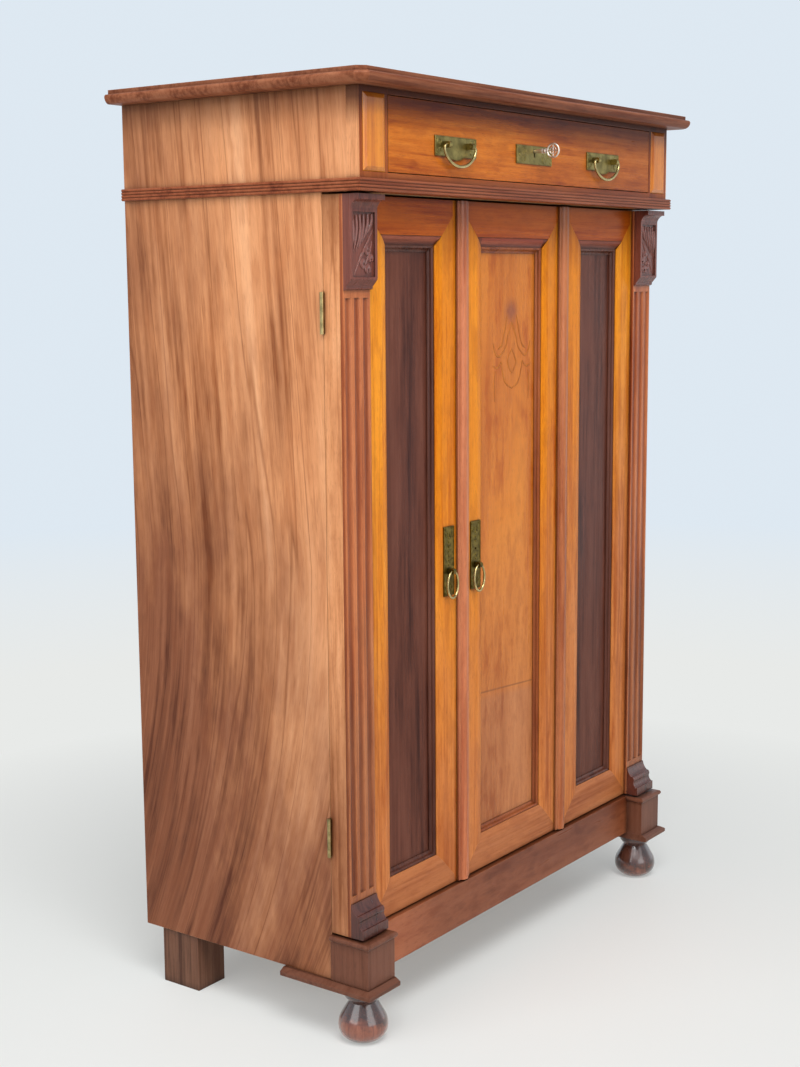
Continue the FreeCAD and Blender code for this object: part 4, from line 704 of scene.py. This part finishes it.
class CABINET_OT_turned_feet(Operator):
    """Turn the two polished front feet."""
    bl_idname = "cabinet.turned_feet"
    bl_label = "Turned feet"

    # Rings (radius, height) from the floor up, in millimetres
    PROFILE = ((19, 0), (22.4, 1.2), (26.4, 3.4), (30, 6.2), (33.2, 9.6), (35.8, 13.6), (37.4, 18.2),
               (38, 23.6), (37.7, 28.2), (36.9, 32.4), (35.4, 36.9), (33.5, 40.6), (30.2, 46.2), (26.6, 52.4),
               (23.4, 57.9), (22, 60.2), (21.4, 61.1), (22.2, 62), (24.6, 65), (27.4, 68.6), (28.5, 70.4),
               (28.5, 79.9))

    def execute(self, context):
        segments = context.scene.cabinet_sizes.foot_segments
        tone = context.scene.cabinet_colours
        low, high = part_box("front_feet")
        rings = [metres(*ring) for ring in self.PROFILE]
        radius = max(ring[0] for ring in rings)
        centre_y = (low.y + high.y) / 2
        feet = [lathe(rings, Vector((x, centre_y, 0)), segments) for x in (low.x + radius, high.x - radius)]
        finish = wood("foot_finish", tone.foot, UP, 0.22, 0.5, 0.8, grime_and_shade=0.5, wear_and_sheen=0.0, coat=1.0,
                      zones=partial(foot_zones, tone))
        settle(feet, "turned_feet", "carcass", finish, ["front_feet"])
        return {"FINISHED"}


class CABINET_OT_drawer_bails(Operator):
    """Bend the two drop bails of the drawer."""
    bl_idname = "cabinet.drawer_bails"
    bl_label = "Drawer bails"

    # One half: points (from the middle, above the pivots) in millimetres, and the share of thickness
    HALF = ((27, 0, 1), (33.8, 0, 1), (38.6, -1.3, 1), (40.9, -5.2, 1), (39.4, -11, 1.05),
            (35.2, -17, 1.1), (28, -23, 1.15), (18, -28, 1.22), (8, -30.5, 1.25), (0, -31, 1.26))

    def execute(self, context):
        radius = context.scene.cabinet_sizes.bail_radius
        finish = material("bright_brass_finish")
        line = [(-x, z, share) for x, z, share in self.HALF] + list(reversed(self.HALF[:-1]))
        for side in ("left", "right"):
            pivot = Vector(joint_place(side + "_bail_pivot"))
            points = [pivot + Vector(metres(x, 0, z)) for x, z, share in line]
            bail = wire(points, radius, swell=[share for x, z, share in line])
            settle([bail], side + "_drop_bail", side + "_bail", finish,
                   ["drawer_" + side + "_bail"])
        return {"FINISHED"}


class CABINET_OT_door_rings(Operator):
    """Bend the two oval drop rings of the doors."""
    bl_idname = "cabinet.door_rings"
    bl_label = "Door rings"

    def execute(self, context):
        radius = context.scene.cabinet_sizes.ring_radius
        finish = material("bright_brass_finish")
        steps, swell_foot = 16, 0.16
        for side in ("left", "right"):
            low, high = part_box(side + "_door_ring")
            middle = (low + high) / 2
            half_width, half_height = (high.x - low.x) / 2 - radius, (high.z - low.z) / 2 - radius
            turns = [2 * math.pi * step / steps for step in range(steps)]
            points = [middle + Vector((half_width * math.sin(a), 0, half_height * math.cos(a)))
                      for a in turns]
            swell = [1.0 + swell_foot * (1 - math.cos(a)) / 2 for a in turns]
            ring = wire(points, radius, closed=True, swell=swell)
            settle([ring], side + "_drop_ring", side + "_ring", finish, [side + "_door_ring"])
        return {"FINISHED"}


class CABINET_OT_key(Operator):
    """Make the key in the drawer lock."""
    bl_idname = "cabinet.key"
    bl_label = "Drawer key"

    # Rings of the shank (radius, distance from the tip), in millimetres
    SHANK = ((2.9, 0), (2.9, 30), (3, 46), (3.9, 46.6), (3.9, 48.2), (3, 48.8), (3, 51),
             (4, 51.6), (4, 53.2), (2.6, 54), (2.2, 57))

    def execute(self, context):
        bow_radius, bow_middle, bow_wire = 0.012, 0.0104, 0.0016
        spoke, spoke_wire = 0.0102, 0.001
        rosette, rosette_wire = 0.0055, 0.0007
        bit_size, bit_back, bit_drop, bit_round = (0.0025, 0.0068, 0.0088), 0.0035, 0.0045, 0.0004
        low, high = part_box("drawer_key")
        level, tip = joint_place("key_turn")[2], high.y
        middle = Vector((0, low.y + bow_radius, level))
        clear_selection()
        bpy.ops.mesh.primitive_torus_add(location=middle, rotation=(0, math.pi / 2, 0), major_segments=56,
                                         minor_segments=14, major_radius=bow_middle, minor_radius=bow_wire)
        pieces = [bpy.context.active_object]
        for arm in (Vector((0, spoke, 0)), Vector((0, 0, spoke))):
            pieces.append(wire([middle - arm, middle + arm], spoke_wire, straight=True))
        turns = [math.pi * step / 6 for step in range(12)]
        circle = [middle + Vector((0, rosette * math.sin(a), rosette * math.cos(a))) for a in turns]
        pieces.append(wire(circle, rosette_wire, closed=True))
        shank = lathe([metres(*ring) for ring in self.SHANK], Vector((0, 0, 0)), 28)
        shank.matrix_world = Matrix.Translation((0, tip, level)) @ Matrix.Rotation(math.pi / 2, 4, "X")
        pieces.append(shank)
        clear_selection()
        bpy.ops.mesh.primitive_cube_add(size=1, location=(0, tip - bit_back, level - bit_drop))
        bit = bpy.context.active_object
        bit.scale = bit_size
        bpy.ops.object.transform_apply(location=False, rotation=False, scale=True)
        bevel = bit.modifiers.new("round", "BEVEL")
        bevel.width, bevel.segments = bit_round, 2
        bpy.ops.object.modifier_apply(modifier="round")
        pieces.append(bit)
        finish = metal("key_finish", context.scene.cabinet_colours.key_metal, 0.4, 0.4, 0.85, 0.012, 0.06)
        settle(pieces, "worn_key", "key", finish, ["drawer_key"])
        return {"FINISHED"}


class CABINET_OT_plate_ornament(Operator):
    """Raise the rims, nails and embossed ornament on the brass plates."""
    bl_idname = "cabinet.plate_ornament"
    bl_label = "Plate ornament"

    # Scrolls: distance from the middle, distance apart or from the end, and size, in metres
    DOOR_SCROLLS = (0.0068, 0.013, 0.0052)
    KEY_SCROLLS = (0.03, 0.0052, 0.0075)
    PULL_SCROLLS = (0.0425, 0.005, 0.0062)
    # Drooping edge of a pull plate: (from the middle, below the edge)
    LOBE = ((-0.012, 0.0032), (0.0, 0.0046), (0.012, 0.0032))

    def edging(self, x0, x1, z0, z1, face, sizes, lobe=()):
        """Raised rim of a plate, with the points of a lobe in its lower edge, and a nail in each corner."""
        edge, radius, inset, rise = sizes.rim_radius, sizes.nail_radius, 0.0042, 0.6
        corners = [(x0 + edge, z0 + edge), *lobe, (x1 - edge, z0 + edge), (x1 - edge, z1 - edge),
                   (x0 + edge, z1 - edge)]
        rim = wire([Vector((x, face, z)) for x, z in corners], edge, closed=True, straight=True)
        return [rim] + [dome(Vector((x, face, z)), radius, radius * rise)
                        for x in (x0 + inset, x1 - inset) for z in (z0 + inset, z1 - inset)]

    def scroll(self, x, z, face, size, side, turn):
        """Leaf scroll: a curl that opens to one side."""
        steps, radius, flat = 13, 0.0012, 0.6
        points, swell = [], []
        for step in range(steps):
            angle = turn + side * step * 0.52
            reach = size * (1 - step / steps) ** 0.8
            points.append(Vector((x + reach * math.cos(angle), face, z + reach * math.sin(angle))))
            swell.append(0.45 + 0.75 * math.sin(math.pi * (step + 1) / (steps + 1)))
        return flatten(wire(points, radius, swell=swell), face, flat)

    def scroll_pair(self, x, z, face, way, scrolls):
        """Two scrolls, one above the other, at one end of a drawer plate."""
        side, apart, size = scrolls
        return [self.scroll(x + way * side, z + tall * apart, face, size, way * tall, math.pi / 2 * (1 - way))
                for tall in (-1, 1)]

    def door_plate(self, side, sizes):
        half, keyhole, clear = 0.014, 0.708, 0.006
        beads, first, pitch, radius, taper, rise = 7, 0.018, 0.0072, 0.0022, 0.00012, 0.0011
        low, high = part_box(side + "_door_plate")
        face, x = DOOR_FACE - PLATE_METAL, (low.x + high.x) / 2
        pieces = self.edging(x - half, x + half, low.z, high.z, face, sizes)
        for step in range(beads):
            z = high.z - first - step * pitch
            if side == "left" or abs(z - keyhole) > clear:
                pieces.append(dome(Vector((x, face, z)), radius - taper * step, rise))
        out, inset, size = self.DOOR_SCROLLS
        for way in (-1, 1):
            for z, end in ((high.z - inset, 1), (low.z + inset, -1)):
                pieces.append(self.scroll(x + way * out, z, face, size, way * end, end * math.pi / 2))
        return pieces

    def key_plate(self, sizes):
        boss, radius, rise = 0.0425, 0.003, 0.0012
        low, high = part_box("drawer_escutcheon")
        face, level = DRAWER_FACE - PLATE_METAL, (low.z + high.z) / 2
        pieces = self.edging(low.x, high.x, low.z, high.z, face, sizes)
        for way in (-1, 1):
            pieces += self.scroll_pair(0, level, face, way, self.KEY_SCROLLS)
            pieces.append(dome(Vector((way * boss, face, level)), radius, rise))
        return pieces

    def pull_plate(self, x, sizes):
        half, foot, head, level, reach = 0.054, 1.31425, 1.34325, 1.32875, 0.022
        face, start = DRAWER_FACE - PLATE_METAL, foot + sizes.rim_radius
        lobe = [(x - reach, start), *((x + dx, foot - drop) for dx, drop in self.LOBE), (x + reach, start)]
        pieces = self.edging(x - half, x + half, foot, head, face, sizes, lobe)
        for way in (-1, 1):
            pieces += self.scroll_pair(x, level, face, way, self.PULL_SCROLLS)
        return pieces

    def execute(self, context):
        sizes = context.scene.cabinet_sizes
        door_brass, drawer_brass = material("old_brass_finish"), material("plate_brass_finish")
        slot, pull_place = "plate_brass", 0.221
        for side in ("left", "right"):
            settle(self.door_plate(side, sizes), side + "_door_plate_ornament", side + "_door",
                   door_brass)
        settle(self.key_plate(sizes), "drawer_escutcheon_ornament", "drawer", drawer_brass)
        for side, x in (("left", -pull_place), ("right", pull_place)):
            settle(self.pull_plate(x, sizes), side + "_pull_plate_ornament", "drawer", drawer_brass)
        return {"FINISHED"}


class CABINET_OT_capital_carving(Operator):
    """Carve the leaf in the sunk field of each capital."""
    bl_idname = "cabinet.capital_carving"
    bl_label = "Capital carving"

    # Points of blades and stems: hundredths of the width from the outer edge, of the height from the top
    BLADES = (((6, 12), (6, 28), (5, 42), (3, 54)),
              ((20, 5), (21, 24), (16, 42), (8, 62)),
              ((35, 4), (37, 24), (31, 41), (18, 60)),
              ((53, 4), (51, 22), (43, 39), (30, 56)),
              ((72, 3), (70, 17), (61, 32), (46, 46)),
              ((90, 3), (88, 13), (80, 24), (66, 35)))
    STEMS = (((97, 27), (72, 46), (40, 70), (10, 97)),
             ((92, 44), (84, 58), (72, 72), (52, 88)))
    # Curls: middle and size in the same hundredths, and way of turning
    CURLS = ((70, 58, 10, 1), (86, 72, 10, -1), (52, 78, 11, 1), (72, 89, 12, -1))

    def execute(self, context):
        depth = context.scene.cabinet_sizes.carving_depth
        capital_width, capital_proud, field_sunk = 0.062, 0.014, 0.003
        margin, field_foot, field_head = 0.0055, 0.01775, 0.0245
        finish = wood("carving_finish", tint(context.scene.cabinet_colours.carved, 1.15), UP, 0.22, 0.6, 0.6,
                      grime_and_shade=0.6, wear_and_sheen=0.4)
        for side, way in (("left", 1), ("right", -1)):
            low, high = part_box(side + "_capital")
            outer = (low.x if way > 0 else high.x) + way * margin
            width = capital_width - 2 * margin
            bottom, top = low.z + field_foot, high.z - field_head
            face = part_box(side + "_pilaster_shaft")[0].y - capital_proud + field_sunk

            def spot(u, v):
                return Vector((outer + way * u / 100 * width, face, top - v / 100 * (top - bottom)))

            def strip(line, radius, swell, flat):
                return flatten(wire([spot(*point) for point in line], radius, swell=swell), face, flat)

            blade, stem, curl, steps = 0.0033, 0.0021, 0.0036, 12
            pieces = [strip(line, blade, (0.7, 1.0, 0.9, 0.2), depth / blade) for line in self.BLADES]
            pieces += [strip(line, stem, (0.6, 1.0, 1.0, 0.4), 0.7) for line in self.STEMS]
            for u, v, size, turn in self.CURLS:
                line, swell = [], []
                for step in range(steps):
                    angle = 0.6 + turn * step * 0.55
                    reach = size * (1 - step / (steps + 1))
                    line.append((u + reach * math.cos(angle), v + reach * 0.62 * math.sin(angle)))
                    swell.append(0.4 + 0.8 * math.sin(math.pi * (step + 1) / (steps + 1)))
                pieces.append(strip(line, curl, swell, 0.45))
            settle(pieces, side + "_capital_leaf", side + "_door", finish)
        return {"FINISHED"}


class CABINET_OT_panel_inlay(Operator):
    """Lay the line ornament into the centre panel."""
    bl_idname = "cabinet.panel_inlay"
    bl_label = "Panel inlay"

    # One half: points (to the right of the ornament's axis, height above the floor) in millimetres
    AXIS = 14.5
    FLAT, TAPER = 0.2, 0.6
    LINES = (((0, 1022), (7.4, 1010.5), (12.3, 1000), (7.4, 990.5), (0, 981.5)),
             ((0, 1065), (5.8, 1054), (13, 1041), (18.5, 1026), (27.5, 1016.5), (41, 1010),
              (51, 1018), (56, 1033)),
             ((14, 1076), (18.5, 1060), (24.5, 1042), (32, 1027), (41, 1022)),
             ((32, 1001), (28.4, 986.5), (19.2, 966.7), (0, 956.7)),
             ((32, 1001), (44, 992), (57, 995)),
             ((50, 986), (52.5, 968), (51.5, 938)))

    def execute(self, context):
        radius = context.scene.cabinet_sizes.inlay_radius
        tone = tint(context.scene.cabinet_colours.centre_panel, 0.78)
        finish = wood("inlay_finish", tone, UP, 0.32, 0.15, 0.5, grime_and_shade=0.0, wear_and_sheen=0.0)
        pieces = []
        for line in self.LINES:
            swell = [self.TAPER] + [1.0] * (len(line) - 2) + [self.TAPER]
            for way in (1, -1):
                points = [Vector(((self.AXIS + way * x) / 1000, PANEL_FACE, z / 1000)) for x, z in line]
                pieces.append(flatten(wire(points, radius, swell=swell), PANEL_FACE, self.FLAT))
        settle(pieces, "centre_panel_inlay", "right_door", finish)
        return {"FINISHED"}


class CABINET_OT_stage(Operator):
    """Lay the floor and set up the light and the camera."""
    bl_idname = "cabinet.stage"
    bl_label = "Stage"

    EYE = Vector((-2.3025, -1.6232, 1.1364))
    YAW, PITCH, ROLL = 36.255, -8.741, -0.416
    FOCAL_PIXELS, LONG_SIDE, SENSOR = 1656.8, 1067, 36.0
    FLOOR_RADIUS, FLOOR_DROP = 14, 0.0005
    ROOM_LIGHT, ROOM_STRENGTH = (0.96, 0.98, 1.0, 1.0), 0.22
    # Lamps: name, place, power, width and height; all of them aim at one point
    AIM = Vector((0, 0, 0.8))
    LAMPS = (("ceiling_light", (-1.7, -1.7, 3.7), 116.0, 2.2, 1.7),
             ("tall_window", (-0.95, -3.35, 1.45), 33.0, 2.2, 2.0),
             ("left_window", (-3.5, 0.6, 2.3), 53.0, 2.6, 2.6),
             ("right_card", (2.95, -1.65, 0.7), 3.5, 1.2, 1.4))

    def execute(self, context):
        tone = context.scene.cabinet_colours
        clear_selection()
        bpy.ops.mesh.primitive_circle_add(vertices=96, radius=self.FLOOR_RADIUS, fill_type="NGON",
                                          location=(0, 0, -self.FLOOR_DROP))
        floor = bpy.context.active_object
        floor.name = "floor"
        bpy.ops.object.transform_apply(location=True, rotation=True, scale=True)
        floor.data.materials.append(self.floor_finish(tone))
        self.world(context.scene, tone)
        for name, place, power, width, height in self.LAMPS:
            data = bpy.data.lights.new(name, "AREA")
            data.shape, data.size, data.size_y, data.energy = "RECTANGLE", width, height, power
            lamp = bpy.data.objects.new(name, data)
            context.scene.collection.objects.link(lamp)
            lamp.location = place
            lamp.rotation_euler = (self.AIM - Vector(place)).to_track_quat("-Z", "Y").to_euler()
        self.camera(context.scene)
        context.scene.view_settings.view_transform = "Standard"
        return {"FINISHED"}

    def floor_finish(self, tone):
        """Pale floor with painted light: a share of its own glow lightens it even by the cabinet, where its
        shadow falls, and away from the cabinet it turns all to glow and then to the backdrop.
        """
        tree = Tree("floor_finish")
        dust = tree.cloud((0.7, 0.7, 0.7), rough=0.55)
        base = tree.fade(dust, 0.35, 0.65, 1.0, tint(tone.floor, 0.98), tone.floor)
        tree.surface({"Base Color": base, "Roughness": 0.6})
        far = tree.add("ShaderNodeVectorMath", {0: tree.place}, operation="LENGTH").outputs["Value"]
        # Painted light: the camera sees a share of glow even in the cabinet's shadow
        share = tree.math("MULTIPLY", tree.seen(), tree.span(far, 0.3, 1.5, 0.3, 1.0))
        glow = tree.fade(far, 2.2, 5.0, 1.0, tint(tone.floor, 0.95), tone.backdrop)
        light = tree.add("ShaderNodeEmission", {"Color": glow})
        self.blend(tree, share, tree.shader, light, "Material Output")
        return tree.material

    def blend(self, tree, share, first, second, output):
        """Show the second shader by its share, and the first for the rest."""
        values = {0: share, 1: first.outputs[0], 2: second.outputs[0]}
        node = tree.add("ShaderNodeMixShader", values)
        tree.put(tree.nodes[output].inputs["Surface"], node.outputs[0])

    def world(self, scene, tone):
        """Soft light all round, with the backdrop where the camera looks."""
        world = bpy.data.worlds.new("soft_room")
        tree = Nodes(world)
        shown = tree.nodes["Background"]
        shown.inputs["Color"].default_value = (*tone.backdrop, 1.0)
        light = tree.add("ShaderNodeBackground", {"Color": self.ROOM_LIGHT, "Strength": self.ROOM_STRENGTH})
        self.blend(tree, tree.seen(), light, shown, "World Output")
        scene.world = world

    def camera(self, scene):
        yaw, pitch, roll = (math.radians(angle) for angle in (self.YAW, self.PITCH, self.ROLL))
        ahead = Vector((math.cos(yaw) * math.cos(pitch), math.sin(yaw) * math.cos(pitch), math.sin(pitch)))
        right = ahead.cross(Vector((0, 0, 1))).normalized()
        up = right.cross(ahead)
        right = right * math.cos(roll) + up * math.sin(roll)
        up = right.cross(ahead)
        data = bpy.data.cameras.new("photo_camera")
        data.sensor_width = self.SENSOR
        data.lens = self.SENSOR * self.FOCAL_PIXELS / self.LONG_SIDE
        camera = bpy.data.objects.new("photo_camera", data)
        scene.collection.objects.link(camera)
        turn = Matrix((right, up, -ahead)).transposed()
        camera.matrix_world = Matrix.Translation(self.EYE) @ turn.to_4x4()
        scene.camera = camera


class CABINET_PT_panel(Panel):
    """Sizes, colours and steps of the cabinet."""
    bl_idname = "CABINET_PT_panel"
    bl_label = "Parlour cabinet"
    bl_space_type = "VIEW_3D"
    bl_region_type = "UI"
    bl_category = "Cabinet"

    def draw(self, context):
        for group in (context.scene.cabinet_sizes, context.scene.cabinet_colours):
            for name in group.__annotations__:
                self.layout.prop(group, name)
        for step in STEPS:
            self.layout.operator(step.bl_idname)


STEPS = (CABINET_OT_stage, CABINET_OT_carcass_woods, CABINET_OT_door_woods, CABINET_OT_drawer_wood,
         CABINET_OT_metals, CABINET_OT_turned_feet, CABINET_OT_drawer_bails, CABINET_OT_door_rings,
         CABINET_OT_key, CABINET_OT_plate_ornament, CABINET_OT_capital_carving, CABINET_OT_panel_inlay)
CLASSES = (CabinetColours, CabinetSizes, *STEPS, CABINET_PT_panel)


def register():
    for item in CLASSES:
        bpy.utils.register_class(item)
    bpy.types.Scene.cabinet_colours = PointerProperty(type=CabinetColours)
    bpy.types.Scene.cabinet_sizes = PointerProperty(type=CabinetSizes)


def unregister():
    del bpy.types.Scene.cabinet_sizes
    del bpy.types.Scene.cabinet_colours
    for item in reversed(CLASSES):
        bpy.utils.unregister_class(item)


def main():
    register()
    for step in STEPS:
        group, name = step.bl_idname.split(".")
        getattr(getattr(bpy.ops, group), name)()


if __name__ == "__main__":
    main()
